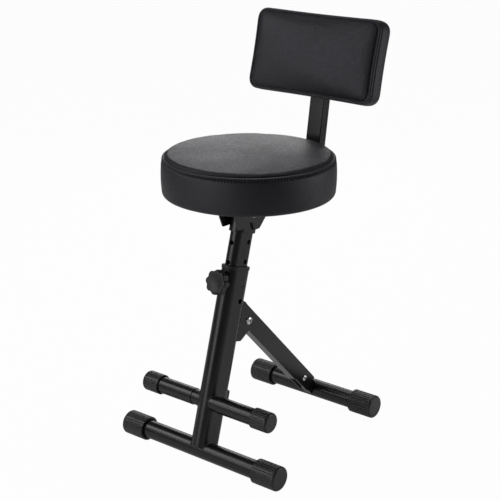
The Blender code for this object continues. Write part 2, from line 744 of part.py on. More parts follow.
def footrest():
    centre = Vector((0.0, -FOOTREST_FORWARD, FOOTREST_HEIGHT))
    stub_end = SLEEVE_START + STUB_IN_SLEEVE
    steel = "satin_black_steel"
    round_tube("footrest_stub", STUB_DIAMETER, STUB_WALL, -stub_end, stub_end, LEG, steel, along("+X", centre))
    sleeve_end = FOOTREST_LENGTH / 2 - CAP_END_WALL - TOUCH
    for side, sign, axis in both_sides():
        place = along(axis, centre)
        name = f"footrest_tube_{side}"
        round_tube(name, FOOTREST_DIAMETER, FOOTREST_WALL, SLEEVE_START, sleeve_end, LEG, steel, place)
        mouth = centre + Vector((sign * (FOOTREST_LENGTH / 2 - CAP_LENGTH), 0.0, 0.0))
        bore = FOOTREST_DIAMETER + 2 * TOUCH
        place = cap_place(axis, mouth)
        name = f"footrest_cap_{side}"
        ribbed_cap(name, CAP_DIAMETER, CAP_LENGTH, CAP_END_WALL, bore, CAP_RIBS, LEG, place)


def upright_plate(name, outlines, x_low, x_high, parent, finish="satin_black_steel"):
    """A plate standing in the parent's YZ plane, between two X values, from (y, z) outlines."""
    turn = Matrix(((0, 0, 1, 0), (1, 0, 0, 0), (0, 1, 0, 0), (0, 0, 0, 1)))
    place = Matrix.Translation(((x_low + x_high) / 2, 0.0, 0.0)) @ turn
    return plate(name, outlines, abs(x_high - x_low), parent, finish, place)


def hinge():
    pivot = (LEG_BACK + PIVOT_SETBACK, PIVOT_HEIGHT)
    top = (LEG_BACK, PIVOT_HEIGHT + EAR_REACH_UP)
    bottom = (LEG_BACK + EAR_BOTTOM_RADIUS / 2, PIVOT_HEIGHT - EAR_REACH_DOWN)
    inside = LEG_BACK - LEG_WIDTH / 2
    circles = [(pivot, EAR_APEX_RADIUS), (top, EAR_TOP_RADIUS), (bottom, EAR_BOTTOM_RADIUS)]
    circles += [((inside, top[1]), EAR_TOP_RADIUS), ((inside, bottom[1]), EAR_BOTTOM_RADIUS)]
    outline = hull_of_circles(circles)
    hole = circle(pivot, HINGE_BOLT_DIAMETER / 2 + BOLT_PLAY)
    cope = leg_clearance("ear_cope", 0.0, LEG_LENGTH)
    for side, sign, _ in both_sides():
        ear = upright_plate(f"hinge_ear_{side}", [outline, hole], sign * EAR_INNER, sign * EAR_OUTER, LEG)
        boolean(ear, cope)
    through = 2 * (EAR_OUTER + TOUCH) + HINGE_NUT_HEIGHT
    head = Vector((EAR_OUTER + TOUCH, *pivot))
    place = along("+X", head)
    bolt("hinge_bolt", HINGE_HEAD_DIAMETER, HINGE_HEAD_HEIGHT, HINGE_BOLT_DIAMETER, through, LEG, place)
    nut_seat = along("-X", (-head.x, *pivot))
    bore = HINGE_BOLT_DIAMETER + 2 * BOLT_PLAY
    nut("hinge_nut", HINGE_NUT_WIDTH, HINGE_NUT_HEIGHT, bore, LEG, nut_seat)


def fold_rest():
    """A channel welded across the leg's back, whose web stops the folded strut."""
    rear = LEG_BACK + PIVOT_SETBACK - PIVOT_TO_WEB - TOUCH
    front = LEG_BACK - LEG_WIDTH / 2
    low, high = REST_HEIGHT - REST_LENGTH / 2, REST_HEIGHT + REST_LENGTH / 2
    side_outline = [(front, low), (rear, low), (rear, high), (front, high)]
    half = REST_WIDTH / 2
    body = upright_plate("fold_rest", [filleted(side_outline, REST_CORNER)], -half, half, LEG)
    hollow_low = (-half + REST_WALL, front - REST_WALL, low - REST_WALL)
    hollow_high = (half - REST_WALL, rear - REST_WALL, high + REST_WALL)
    boolean(body, block("rest_hollow", LEG, hollow_low, hollow_high))
    boolean(body, leg_clearance("rest_cope", low - REST_WALL, high + REST_WALL))


def strut():
    """The rear leg's channel. Its frame has the pivot at the origin, Z up the strut and Y away from its web."""
    half = STRUT_WIDTH / 2
    web, edge = -PIVOT_TO_WEB, STRUT_DEPTH - PIVOT_TO_WEB
    section = [(-half, edge), (-half, web), (half, web), (half, edge)]
    section += [(half - STRUT_WALL, edge), (half - STRUT_WALL, web + STRUT_WALL)]
    section += [(-half + STRUT_WALL, web + STRUT_WALL), (-half + STRUT_WALL, edge)]
    length = STRUT_LENGTH + STRUT_HEEL
    place = Matrix.Translation((0.0, 0.0, STRUT_HEEL - length / 2))
    channel = plate("rear_strut", [section], length, STRUT, "satin_black_steel", place)
    lower_end = -STRUT_LENGTH - STRUT_WALL
    notch_low = (-STRUT_WIDTH, 2 * web, lower_end)
    notch_high = (STRUT_WIDTH, web + STRUT_WALL, -WEB_LENGTH)
    boolean(channel, block("web_notch", STRUT, notch_low, notch_high))
    leg_face = LEG_BACK + STOP_GAP
    trim = block("strut_trim", LEG, (-STRUT_WIDTH, -LEG_DEPTH, 0.0), (STRUT_WIDTH, leg_face, LEG_LENGTH))
    boolean(channel, trim)
    across = 2 * STRUT_WIDTH
    pivot_hole = rods("pivot_hole", STRUT, "+X", [(0, 0, 0)], HINGE_BOLT_DIAMETER / 2 + BOLT_PLAY, across)
    boolean(channel, pivot_hole)
    bolt_at = (STRUT_BOLT_OFFSET, -STRUT_BOLT_AT)
    hole_radius = STRUT_BOLT_DIAMETER / 2 + BOLT_PLAY
    bolt_hole = rods("strut_bolt_hole", STRUT, "+X", [(0.0, *bolt_at)], hole_radius, across)
    boolean(channel, bolt_hole)
    inside = half - STRUT_WALL - TOUCH
    spacer_bore = HINGE_BOLT_DIAMETER / 2 + BOLT_PLAY
    spacer = [(SPACER_DIAMETER / 2, inside), (SPACER_DIAMETER / 2, -inside), (spacer_bore, -inside)]
    spacer.append((spacer_bore, inside))
    turned("pivot_spacer", spacer, STRUT, "satin_black_steel", along("+X"), steps=COLLAR_STEPS, ring=True)
    rear_base_and_lug(inside, bolt_hole)
    head = half + TOUCH
    through = 2 * head + STRUT_NUT_HEIGHT
    place = along("+X", (head, *bolt_at))
    bolt("strut_bolt", STRUT_HEAD_DIAMETER, STRUT_HEAD_HEIGHT, STRUT_BOLT_DIAMETER, through, STRUT, place)
    bore = STRUT_BOLT_DIAMETER + 2 * BOLT_PLAY
    nut("strut_nut", STRUT_NUT_WIDTH, STRUT_NUT_HEIGHT, bore, STRUT, along("-X", (-head, *bolt_at)))


def rear_base_and_lug(lug_half_width, bolt_hole):
    centre = (0.0, REAR_BASE_OFFSET, -STRUT_REACH)
    tilt = Matrix.Rotation(-STRUT_LEAN, 4, "X")
    axis = empty("rear_base_axis", centre, -STRUT_LEAN, STRUT)
    base("rear_base_tube", REAR_BASE_LENGTH, "rear", axis, (0.0, 0.0, 0.0))
    middle = STRUT_BOLT_OFFSET
    free_end = -STRUT_REACH + LUG_LENGTH
    buried = -STRUT_REACH + LUG_BURIED
    outline = [(middle - LUG_DEPTH / 2, buried), (middle + LUG_DEPTH / 2, buried)]
    outline += [(middle + LUG_DEPTH / 2, free_end), (middle - LUG_DEPTH / 2, free_end)]
    lug = upright_plate("rear_lug", [outline], -lug_half_width, lug_half_width, STRUT)
    tube = rods("lug_cope", STRUT, "+X", [centre], BASE_DIAMETER / 2 + TOUCH, 2 * STRUT_WIDTH, ROUND_STEPS)
    tube.matrix_basis = Matrix.Translation(centre) @ tilt @ Matrix.Translation(-Vector(centre))
    boolean(lug, tube)
    boolean(lug, bolt_hole)


def seat_post():
    top = SEAT_ON_LEG - POST_BELOW_PLATE
    profile = [(0.0, top), (0.0, POST_BOTTOM), (-POST_WALL, POST_BOTTOM), (-POST_WALL, top)]
    post = piece("seat_post", oval_wall(POST_WIDTH, POST_DEPTH, profile), SLIDE, "satin_black_steel")
    steps = range(-HOLES_BELOW_KNOB, HOLES_ABOVE_KNOB + 1)
    front = [(0.0, -POST_DEPTH / 2, KNOB_Z + step * HOLE_PITCH) for step in steps]
    front_holes = rods("front_holes", SLIDE, "+Y", front, HOLE_DIAMETER / 2, POST_DEPTH / 2)
    boolean(post, front_holes)
    steps = range(-SIDE_HOLES_BELOW_PIN, SIDE_HOLES_ABOVE_PIN + 1)
    sides = [(0.0, PIN_HOLE_SETBACK, PIN_Z + step * HOLE_PITCH) for step in steps]
    side_holes = rods("side_holes", SLIDE, "+X", sides, HOLE_DIAMETER / 2, 2 * POST_WIDTH)
    boolean(post, side_holes)
    boolean(post, socket_bolt_hole())
    flange_out = POST_INSET - LEG_WALL - TOUCH
    spigot = -POST_WALL - TOUCH
    bore = spigot - GLIDE_WALL
    shoulder = POST_BOTTOM - TOUCH
    glide = [
        (spigot, POST_BOTTOM + GLIDE_SPIGOT),
        (spigot, shoulder),
        (flange_out, shoulder),
        (flange_out, shoulder - GLIDE_FLANGE),
        (bore, shoulder - GLIDE_FLANGE),
        (bore, POST_BOTTOM + GLIDE_SPIGOT),
    ]
    piece("post_glide", oval_wall(POST_WIDTH, POST_DEPTH, glide), SLIDE, "black_plastic")


def socket_bolt_hole():
    middle = (0.0, 0.0, SEAT_ON_LEG - SOCKET_BOLT_DROP)
    return rods("socket_bolt_hole", SLIDE, "+X", [middle], M8_DIAMETER / 2 + BOLT_PLAY, 2 * LEG_DEPTH)


def socket():
    inner = TOUCH
    outer = TOUCH + SOCKET_WALL
    low = SEAT_ON_LEG - SOCKET_LENGTH
    high = SEAT_ON_LEG + SOCKET_DEPTH / 2
    profile = [(outer, high), (outer, low), (inner, low), (inner, high)]
    sleeve = piece("seat_socket", oval_wall(POST_WIDTH, POST_DEPTH, profile), SLIDE, "satin_black_steel")
    boolean(sleeve, socket_bolt_hole())
    reach = SOCKET_DEPTH
    above = block("socket_top", SEAT, (-reach, -reach, PLATE_BOTTOM - TOUCH), (reach, reach, reach))
    boolean(sleeve, above)
    head = CHEEK_OUTER + TOUCH
    middle = (0.0, SEAT_ON_LEG - SOCKET_BOLT_DROP)
    through = 2 * head + M8_NUT_HEIGHT
    place = along("+X", (head, *middle))
    bolt("socket_bolt", M8_HEAD_DIAMETER, M8_HEAD_HEIGHT, M8_DIAMETER, through, SLIDE, place)
    bore = M8_DIAMETER + 2 * BOLT_PLAY
    nut("socket_nut", M8_NUT_WIDTH, M8_NUT_HEIGHT, bore, SLIDE, along("-X", (-head, *middle)))


def arm_bolt_places():
    """Y of the two bolts through the cheeks and the backrest arm, from the seat's centre."""
    first = ARM_START + ARM_BOLT_FIRST
    return (("front", first), ("rear", first + ARM_BOLT_PITCH))


def arm_bolt_holes():
    centres = [(0.0, y, ARM_Z) for _, y in arm_bolt_places()]
    return rods("arm_bolt_holes", SEAT, "+X", centres, ARM_BOLT_DIAMETER / 2 + BOLT_PLAY, 2 * LEG_DEPTH)


def cheeks():
    top = PLATE_BOTTOM - TOUCH
    corners = [
        (-CHEEK_FRONT_TOP, top),
        (-CHEEK_FRONT_TIP, -CHEEK_TIP_DROP),
        (-CHEEK_NOTCH_FRONT, -CHEEK_TIP_DROP),
        (-CHEEK_NOTCH_FRONT + CHEEK_TIP_DROP - CHEEK_NOTCH_DROP, -CHEEK_NOTCH_DROP),
        (-CHEEK_NOTCH_REAR - 2 * CHEEK_CORNER, -CHEEK_NOTCH_DROP),
        (-CHEEK_NOTCH_REAR, -CHEEK_LEG_DROP),
        (CHEEK_REAR_LEG, -CHEEK_LEG_DROP),
        (CHEEK_REAR_LEG + CHEEK_LEG_DROP - CHEEK_STRIP_DROP, -CHEEK_STRIP_DROP),
        (CHEEK_STRIP_END, -CHEEK_STRIP_DROP),
        (CHEEK_STRIP_END, top),
    ]
    outline = filleted(corners, CHEEK_CORNER)
    for side, sign, _ in both_sides():
        cheek = upright_plate(f"seat_cheek_{side}", [outline], sign * CHEEK_INNER, sign * CHEEK_OUTER, SEAT)
        boolean(cheek, socket_bolt_hole())
        boolean(cheek, arm_bolt_holes())
    head = CHEEK_OUTER + TOUCH
    through = 2 * head + ARM_NUT_HEIGHT
    bore = ARM_BOLT_DIAMETER + 2 * BOLT_PLAY
    for end, y in arm_bolt_places():
        place = along("+X", (head, y, ARM_Z))
        bolt(f"arm_bolt_{end}", ARM_HEAD_DIAMETER, ARM_HEAD_HEIGHT, ARM_BOLT_DIAMETER, through, SEAT, place)
        nut(f"arm_nut_{end}", ARM_NUT_WIDTH, ARM_NUT_HEIGHT, bore, SEAT, along("-X", (-head, y, ARM_Z)))


def plate_screws():
    """Corner names and places of the screws through the seat plate."""
    x, y = PLATE_WIDTH / 2 - SCREW_EDGE, PLATE_LENGTH / 2 - SCREW_EDGE
    return (
        ("front_left", (-x, -y)),
        ("front_right", (x, -y)),
        ("rear_left", (-x, y)),
        ("rear_right", (x, y)),
    )


def seat_plate_and_board():
    hole = SCREW_DIAMETER / 2 + BOLT_PLAY
    outlines = [rounded_corners(PLATE_WIDTH, PLATE_LENGTH, PLATE_CORNER)]
    outlines += [circle(centre, hole) for _, centre in plate_screws()]
    middle = Matrix.Translation((0.0, 0.0, -TOUCH - PLATE_THICKNESS / 2))
    plate("seat_plate", outlines, PLATE_THICKNESS, SEAT, "satin_black_steel", middle)
    edge = BOARD_DIAMETER / 2
    profile = [(0.0, BOARD_THICKNESS), (edge, BOARD_THICKNESS), (edge, 0.0), (0.0, 0.0)]
    board = turned("seat_board", profile, SEAT, "plywood", steps=SEAT_STEPS)
    centres = [(x, y, 0.0) for _, (x, y) in plate_screws()]
    deep = SCREW_DEPTH + 2 * TOUCH
    boolean(board, rods("board_holes", SEAT, "+Z", centres, hole, 2 * deep))
    for corner, (x, y) in plate_screws():
        seat = along("-Z", (x, y, PLATE_BOTTOM - TOUCH))
        length = PLATE_THICKNESS + 2 * TOUCH + SCREW_DEPTH
        bolt(f"seat_screw_{corner}", SCREW_HEAD_DIAMETER, SCREW_HEAD_HEIGHT, SCREW_DIAMETER, length, SEAT, seat)


def seat_pad():
    """A crowned top panel, a piped seam and a side band that draws in at the seam and at the bottom."""
    seam = SEAT_SEAM_DIAMETER / 2
    side = SEAT_DIAMETER / 2
    crown_top = SEAT_SEAM_HEIGHT + SEAT_CROWN
    recess = BOARD_DIAMETER / 2 + TOUCH
    inner_top = BOARD_THICKNESS + TOUCH
    profile = []
    panel_edge = seam - 2 * SEAT_PIPING
    for share in SEAT_PANEL_SHARES:
        profile.append((panel_edge * share, crown_top - SEAT_CROWN * share**SEAT_CROWN_POWER))
    profile += arc((seam, SEAT_SEAM_HEIGHT), SEAT_PIPING, PIPING_START, PIPING_END, PIPING_STEPS)
    profile.append((seam - SEAT_PIPING / 2, SEAT_SEAM_HEIGHT - SEAT_GROOVE_DROP))
    band = SEAT_SEAM_HEIGHT - 2 * SEAT_PIPING
    for share in SEAT_BAND_SHARES:
        bulge = math.sqrt(math.sin(math.pi * share))
        profile.append((seam + (side - seam) * bulge, band * share))
    low_edge = side - SEAT_BOTTOM_ROUND
    rounding = SEAT_BOTTOM_ROUND - SEAT_BOTTOM_LIFT
    profile += arc((low_edge, SEAT_BOTTOM_ROUND), rounding, 0, -math.pi / 2, CORNER_STEPS)
    profile += [(recess, SEAT_BOTTOM_LIFT), (recess, inner_top), (0.0, inner_top)]
    turned("seat_pad", profile, SEAT, "black_leather", steps=SEAT_STEPS)


def arm_path():
    """Centre line of the backrest tube in the seat's YZ plane: points with their directions."""
    up = Vector((math.sin(UPRIGHT_LEAN), math.cos(UPRIGHT_LEAN)))
    corner = Vector((UPRIGHT_Y, ARM_Z))
    bend = corner + up * (UPPER_BEND_HEIGHT - ARM_Z) / up.y
    top_way = Vector((math.sin(BACKREST_LEAN), math.cos(BACKREST_LEAN)))
    end = bend + top_way * UPPER_LENGTH
    path = [(Vector((ARM_START, ARM_Z)), 0.0)]
    upright = math.pi / 2 - UPRIGHT_LEAN
    upper = math.pi / 2 - BACKREST_LEAN
    path += bend_points(corner, 0.0, upright, UPRIGHT_BEND_RADIUS, UPRIGHT_BEND_STEPS)
    path += bend_points(bend, upright, upper, UPPER_BEND_RADIUS, UPPER_BEND_STEPS)
    path.append((end, upper))
    return path, bend, top_way


def bend_points(corner, before, after, radius, steps):
    """An arc that rounds a corner of the path between two headings."""
    sweep = after - before
    tangent = radius * math.tan(abs(sweep) / 2)
    way = Vector((math.cos(before), math.sin(before)))
    start = corner - way * tangent
    side = math.copysign(1.0, sweep)
    centre = start + Vector((-way.y, way.x)) * radius * side
    points = []
    for step in range(steps + 1):
        heading = before + sweep * step / steps
        normal = Vector((-math.sin(heading), math.cos(heading))) * side
        points.append((centre - normal * radius, heading))
    return points


def tube_ring(centre, heading, width, depth, radius):
    """A round-cornered section square to the path."""
    across = Vector((-math.sin(heading), math.cos(heading)))
    ring = []
    for x, d in rounded_corners(width, depth, radius):
        point = centre + across * d
        ring.append(Vector((x, point.x, point.y)))
    return ring


def backrest_post():
    path, bend, top_way = arm_path()
    outer = [tube_ring(point, heading, ARM_WIDTH, ARM_DEPTH, ARM_CORNER) for point, heading in path]
    bore_width, bore_depth = ARM_WIDTH - 2 * ARM_WALL, ARM_DEPTH - 2 * ARM_WALL
    bore_corner = ARM_CORNER - ARM_WALL
    inner = [tube_ring(point, heading, bore_width, bore_depth, bore_corner) for point, heading in path]
    tube = piece("backrest_post", loft(outer + inner[::-1], closed=True), SEAT, "satin_black_steel")
    boolean(tube, arm_bolt_holes())
    boolean(tube, back_screw_holes("post_screw_holes", 2 * ARM_DEPTH))
    start, end = path[0][0], path[-1][0]
    tube_plug("arm_plug", SEAT, along("-Y", (0.0, *start)))
    top = (end - bend).length
    tube_plug("backrest_post_cap", BACK, Matrix.Translation((0.0, 0.0, top - BACKREST_UP)))


def tube_plug(name, parent, place):
    """A plastic plug for the rectangular tube: its flange stands on the place's XY plane."""
    bore_width, bore_depth = ARM_WIDTH - 2 * ARM_WALL, ARM_DEPTH - 2 * ARM_WALL
    bore_corner = ARM_CORNER - ARM_WALL
    rings = [
        (ARM_WIDTH - 2 * PLUG_CHAMFER, ARM_DEPTH - 2 * PLUG_CHAMFER, ARM_CORNER, PLUG_FLANGE),
        (ARM_WIDTH, ARM_DEPTH, ARM_CORNER, PLUG_FLANGE - PLUG_CHAMFER),
        (ARM_WIDTH, ARM_DEPTH, ARM_CORNER, TOUCH),
        (bore_width - 2 * TOUCH, bore_depth - 2 * TOUCH, bore_corner, TOUCH),
        (bore_width - 2 * TOUCH, bore_depth - 2 * TOUCH, bore_corner, -PLUG_SPIGOT),
        (bore_width - 2 * PLUG_WALL, bore_depth - 2 * PLUG_WALL, bore_corner / 2, -PLUG_SPIGOT),
        (bore_width - 2 * PLUG_WALL, bore_depth - 2 * PLUG_WALL, bore_corner / 2, 0.0),
    ]
    loops = [[Vector((x, y, z)) for x, y in rounded_corners(w, d, r)] for w, d, r, z in rings]
    piece(name, loft(loops), parent, "black_plastic", place)


def back_screw_holes(name, length):
    centres = [(0.0, 0.0, sign * BACK_SCREW_SPREAD / 2) for sign in (-1.0, 1.0)]
    return rods(name, BACK, "+Y", centres, SCREW_DIAMETER / 2 + BOLT_PLAY, length)


def backrest():
    """Pad, board and screws. In this frame Y = 0 is the tube's axis, Z runs up the pad and Y points back."""
    back = -ARM_DEPTH / 2 - TOUCH
    seam = back - BACKREST_BAND
    board_width = BACKREST_WIDTH - 2 * BACK_BOARD_INSET
    board_height = BACKREST_HEIGHT - 2 * BACK_BOARD_INSET
    board_corner = BACKREST_CORNER - BACK_BOARD_INSET / 2
    face = Matrix(((1, 0, 0, 0), (0, 0, -1, 0), (0, 1, 0, 0), (0, 0, 0, 1)))
    place = Matrix.Translation((0.0, back - BACK_BOARD_THICKNESS / 2, 0.0)) @ face
    outline = rounded_corners(board_width, board_height, board_corner)
    board = plate("backrest_board", [outline], BACK_BOARD_THICKNESS, BACK, "plywood", place)
    boolean(board, back_screw_holes("back_board_holes", 2 * (ARM_DEPTH + BACK_BOARD_THICKNESS)))
    length = ARM_DEPTH + BACK_BOARD_THICKNESS + 2 * TOUCH
    for end, sign in (("lower", -1.0), ("upper", 1.0)):
        seat = along("+Y", (0.0, ARM_DEPTH / 2 + TOUCH, sign * BACK_SCREW_SPREAD / 2))
        name = f"backrest_screw_{end}"
        bolt(name, SCREW_HEAD_DIAMETER, SCREW_HEAD_HEIGHT, SCREW_DIAMETER, length, BACK, seat)

    def ring(grow, y):
        """A section of the pad, grown from the seam's outline, at depth y."""
        width, height = BACKREST_WIDTH + 2 * grow, BACKREST_HEIGHT + 2 * grow
        radius = max(BACKREST_CORNER + grow, BACKREST_LEAST_CORNER)
        points = rounded_corners(width, height, radius, side_points=PAD_SIDE_POINTS, draw_in=BACKREST_DRAW)
        return [Vector((x, y, z)) for x, z in points]

    def board_ring(y):
        width, height = board_width + 2 * TOUCH, board_height + 2 * TOUCH
        points = rounded_corners(width, height, board_corner, side_points=PAD_SIDE_POINTS)
        return [Vector((x, y, z)) for x, z in points]

    pipe = BACKREST_PIPING
    rings = [board_ring(back - BACK_BOARD_THICKNESS - TOUCH), board_ring(back)]
    rings += [ring(-pipe, back), ring(BACKREST_BACK_BULGE, back - pipe)]
    rings += [ring(BACKREST_BULGE, back - BACKREST_BAND * share) for share in BACKREST_BULGE_SHARES]
    rings += [ring(0.0, seam + BACKREST_GROOVE), ring(pipe, seam + pipe / 2), ring(pipe, seam - pipe / 2)]
    rings += [ring(-pipe / 2, seam - pipe)]
    panel_half = BACKREST_HEIGHT / 2
    for share in BACKREST_PANEL_SHARES:
        rise = BACKREST_CROWN * (1 - (1 - share) ** BACKREST_CROWN_POWER)
        rings.append(ring(-panel_half * share, seam - rise))
    piece("backrest_pad", loft(rings), BACK, "black_leather")


def strut_frame():
    """Lean and length of the strut that stand the rear base on the floor at the stance."""
    setback = LEG_BACK + PIVOT_SETBACK
    pivot_y = setback * math.cos(LEG_LEAN) + PIVOT_HEIGHT * math.sin(LEG_LEAN)
    pivot_z = PIVOT_HEIGHT * math.cos(LEG_LEAN) - setback * math.sin(LEG_LEAN)
    run, drop = STANCE - LEG_SETBACK - pivot_y, pivot_z
    straight = math.hypot(run, drop)
    lean = math.atan2(run, drop) - math.asin(REAR_BASE_OFFSET / straight)
    return lean, math.sqrt(straight**2 - REAR_BASE_OFFSET**2)


clear_scene()
PARTS = new_collection("guitar_stool")
CUTTERS = new_collection("guitar_stool_cutters")
make_finishes()
STRUT_LEAN, STRUT_REACH = strut_frame()
STOOL = empty("stool", (0.0, 0.0, 0.0))
LEG = empty("leg_axis", (0.0, LEG_FOOT_Y, BASE_AXIS_Z), -LEG_LEAN, STOOL)
SLIDE = empty("height_slide_axis", (0.0, 0.0, 0.0), 0.0, LEG)
SEAT = empty("seat_centre", (0.0, 0.0, SEAT_ON_LEG), LEG_LEAN, SLIDE)
KNOB = empty("knob_axis", (0.0, -LEG_BACK, KNOB_Z), math.pi / 2, LEG)
STRUT = empty("fold_pivot", (0.0, LEG_BACK + PIVOT_SETBACK, PIVOT_HEIGHT), LEG_LEAN + STRUT_LEAN, LEG)
_, UPPER_BEND, UPPER_WAY = arm_path()
BACK = empty("backrest_centre", (0.0, *(UPPER_BEND + UPPER_WAY * BACKREST_UP)), -BACKREST_LEAN, SEAT)

front_base()
leg()
guide_bush()
clamp_knob()
footrest()
hinge()
fold_rest()
strut()
seat_post()
socket()
cheeks()
seat_plate_and_board()
seat_pad()
backrest_post()
backrest()
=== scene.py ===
"""Dresses the folding guitar stool: stitched leather pads, ribbed feet, powder-coated tubes, bright bolts.

Metres, +Z up, +Y towards the back. The stool is symmetric about X = 0 and stands on Z = 0.
Leg pieces are shaped in the frame of the leaning leg, whose Z runs up the leg and whose Y points out of
its back. Backrest pieces are shaped in the frame of the leaning pad, whose Z runs up the pad and whose Y
points back.
"""

import json
from math import atan2, copysign, cos, exp, pi, radians, sin, sqrt, tan

import bpy
from mathutils import Matrix, Vector, noise

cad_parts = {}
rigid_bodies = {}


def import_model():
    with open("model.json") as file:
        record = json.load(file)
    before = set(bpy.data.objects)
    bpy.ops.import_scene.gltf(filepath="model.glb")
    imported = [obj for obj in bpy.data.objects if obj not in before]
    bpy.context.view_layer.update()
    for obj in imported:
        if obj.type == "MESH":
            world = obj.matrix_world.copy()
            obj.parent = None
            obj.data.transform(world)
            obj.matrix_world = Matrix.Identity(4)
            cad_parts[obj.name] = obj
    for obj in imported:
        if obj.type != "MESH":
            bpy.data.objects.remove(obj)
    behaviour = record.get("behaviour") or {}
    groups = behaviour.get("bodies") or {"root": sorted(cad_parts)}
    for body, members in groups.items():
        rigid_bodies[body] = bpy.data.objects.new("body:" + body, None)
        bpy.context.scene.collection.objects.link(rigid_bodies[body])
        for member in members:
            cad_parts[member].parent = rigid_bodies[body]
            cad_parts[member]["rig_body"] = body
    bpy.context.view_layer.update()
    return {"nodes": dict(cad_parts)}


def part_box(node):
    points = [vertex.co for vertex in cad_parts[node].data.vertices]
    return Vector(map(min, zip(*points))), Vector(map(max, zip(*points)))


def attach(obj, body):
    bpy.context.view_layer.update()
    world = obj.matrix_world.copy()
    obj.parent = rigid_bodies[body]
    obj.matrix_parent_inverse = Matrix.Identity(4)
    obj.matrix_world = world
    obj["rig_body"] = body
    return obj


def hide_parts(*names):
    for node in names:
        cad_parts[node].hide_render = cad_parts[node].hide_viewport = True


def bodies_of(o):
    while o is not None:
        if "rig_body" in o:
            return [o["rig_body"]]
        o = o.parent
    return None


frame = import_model()

# Modelling
ALONG_X = (0.0, pi / 2, 0.0)  # turns of a cylinder whose axis is Z
ALONG_Y = (pi / 2, 0.0, 0.0)
ALONG_Z = (0.0, 0.0, 0.0)
UNSTRETCHED = (1.0, 1.0, 1.0)
RELIEF_DEPTH = 0.0003
FACING = 0.9  # least part of a normal along an axis
MERGE_DISTANCE = 0.000005
FLAT_ANGLE = radians(0.5)
SMOOTH_ANGLE = radians(35)
BROKEN_STEPS = 2  # across a broken edge
ROUND_STEPS = 3  # across a rounded one

# Frames of the leaning leg, the knob, the seat and the backrest
LEG_FOOT = (0.0, -0.1811, 0.023067)
LEG_LEAN = radians(16.0)
KNOB_ON_LEG = (0.0, -0.0300, 0.3175)
SEAT_CENTRE = (0.0, -0.047209, 0.490)
PAD_CENTRE = (0.0, 0.188953, 0.706386)
PAD_LEAN = radians(13.5)

# Steel tubes
BASE_WALL = 0.0015
LEG_WIDTH = 0.035
LEG_DEPTH = 0.060
LEG_WALL = 0.0015
LEG_BOTTOM = 0.007
LEG_TOP = 0.3425
THROUGH_LEG = 3 * LEG_WIDTH
SADDLE_PLAY = 0.0001
BASE_RADIUS = 0.0175
BASE_BEHIND_LEG = -0.0058  # front base axis from the leg's foot
PIN_HOLE = (0.0, 0.0085, 0.2850)
PIN_HOLE_RADIUS = 0.005
SNAP_HOLE = (0.0, 0.009, 0.3135)
SNAP_HOLE_RADIUS = 0.0014
POST_WIDTH = 0.0258
POST_DEPTH = 0.0508
POST_WALL = 0.0015
POST_BOTTOM = 0.1655
POST_TOP = 0.47175
HOLE_RADIUS = 0.0045
HOLE_PITCH = 0.037
FRONT_HOLES = range(-3, 3)  # pitches above the clamped hole
SIDE_HOLES = range(-2, 4)  # pitches above the leg's pin hole
FOOTREST_WALL = 0.001
SLEEVE_ROUND = 0.00095
FOOTREST_ON_LEG = (0.0, -0.013, 0.092)
STUB_RADIUS = 0.0147
SOCKET_WIDTH = 0.0334
SOCKET_DEPTH = 0.0584
SOCKET_WALL = 0.0035
SOCKET_BOTTOM = 0.41275
SOCKET_TOP = 0.51495
PLATE_UNDERSIDE = 0.4864
ARM_WIDTH = 0.0334
ARM_DEPTH = 0.022
ARM_CORNER = 0.003
ARM_CORNER_STEPS = 6
ARM_START = 0.034
ARM_DROP = -0.0146
UPRIGHT_AT = 0.1935
UPRIGHT_LEAN = radians(9.0)
UPRIGHT_BEND_RADIUS = 0.036
UPRIGHT_BEND_STEPS = 20
UPPER_BEND_HEIGHT = 0.142
UPPER_BEND_RADIUS = 0.120
UPPER_BEND_STEPS = 5
UPPER_LENGTH = 0.119
TUBE_SIDES = 72
OVAL_SIDES = 74  # leaves no vertex at Y = 0
HOLE_SIDES = 40

# Bush collar on the leg's mouth
BUSH_LIP = 0.001
BUSH_FLANGE = 0.007
BUSH_SKIRT = 0.018
BUSH_PLAY = 0.0003
BUSH_ROUND = 0.0012

# Feet and footrest caps
FOOT_RIBS = 26
CAP_RIBS = 22
SIDES_PER_RIB = 8
RIB_GROOVE = 0.0011
GROOVE_SHARE = 0.25  # of the ribs' pitch
RIB_ROUND = 0.0003
FOOT_END = 0.007
CAP_END = 0.005
END_ROUND = 0.0045
END_ROUND_STEPS = 5

# Knob
KNOB_RADIUS = 0.0235
KNOB_LOBES = 8
KNOB_LOBE_SIDES = 16
KNOB_LOBE_DEPTH = 0.0034
KNOB_HOLLOW_POWER = 1.5  # the higher, the narrower the hollows
KNOB_BACK = 0.0061
KNOB_HUB_RADIUS = 0.012
KNOB_HUB_HEIGHT = 0.003
KNOB_FRONT = 0.0236
KNOB_DISH_RADIUS = 0.0165
KNOB_DISH_STEPS = 8
KNOB_DISH_DEPTH = 0.0030
KNOB_RIM = 0.0034
KNOB_RIM_SWEEP = 80  # degrees
KNOB_RIM_STEPS = 7
KNOB_BACK_ROUND = 0.0018
KNOB_BACK_STEPS = 4
KNOB_BACK_SHARES = (0.62, 0.74, 0.86)  # of the radius
KNOB_BORE_RADIUS = 0.0043
KNOB_BORE_DEPTH = 0.011
BOSS_RADIUS = 0.009
BOSS_HEIGHT = 0.0055
BOSS_DEPTH = 0.0029

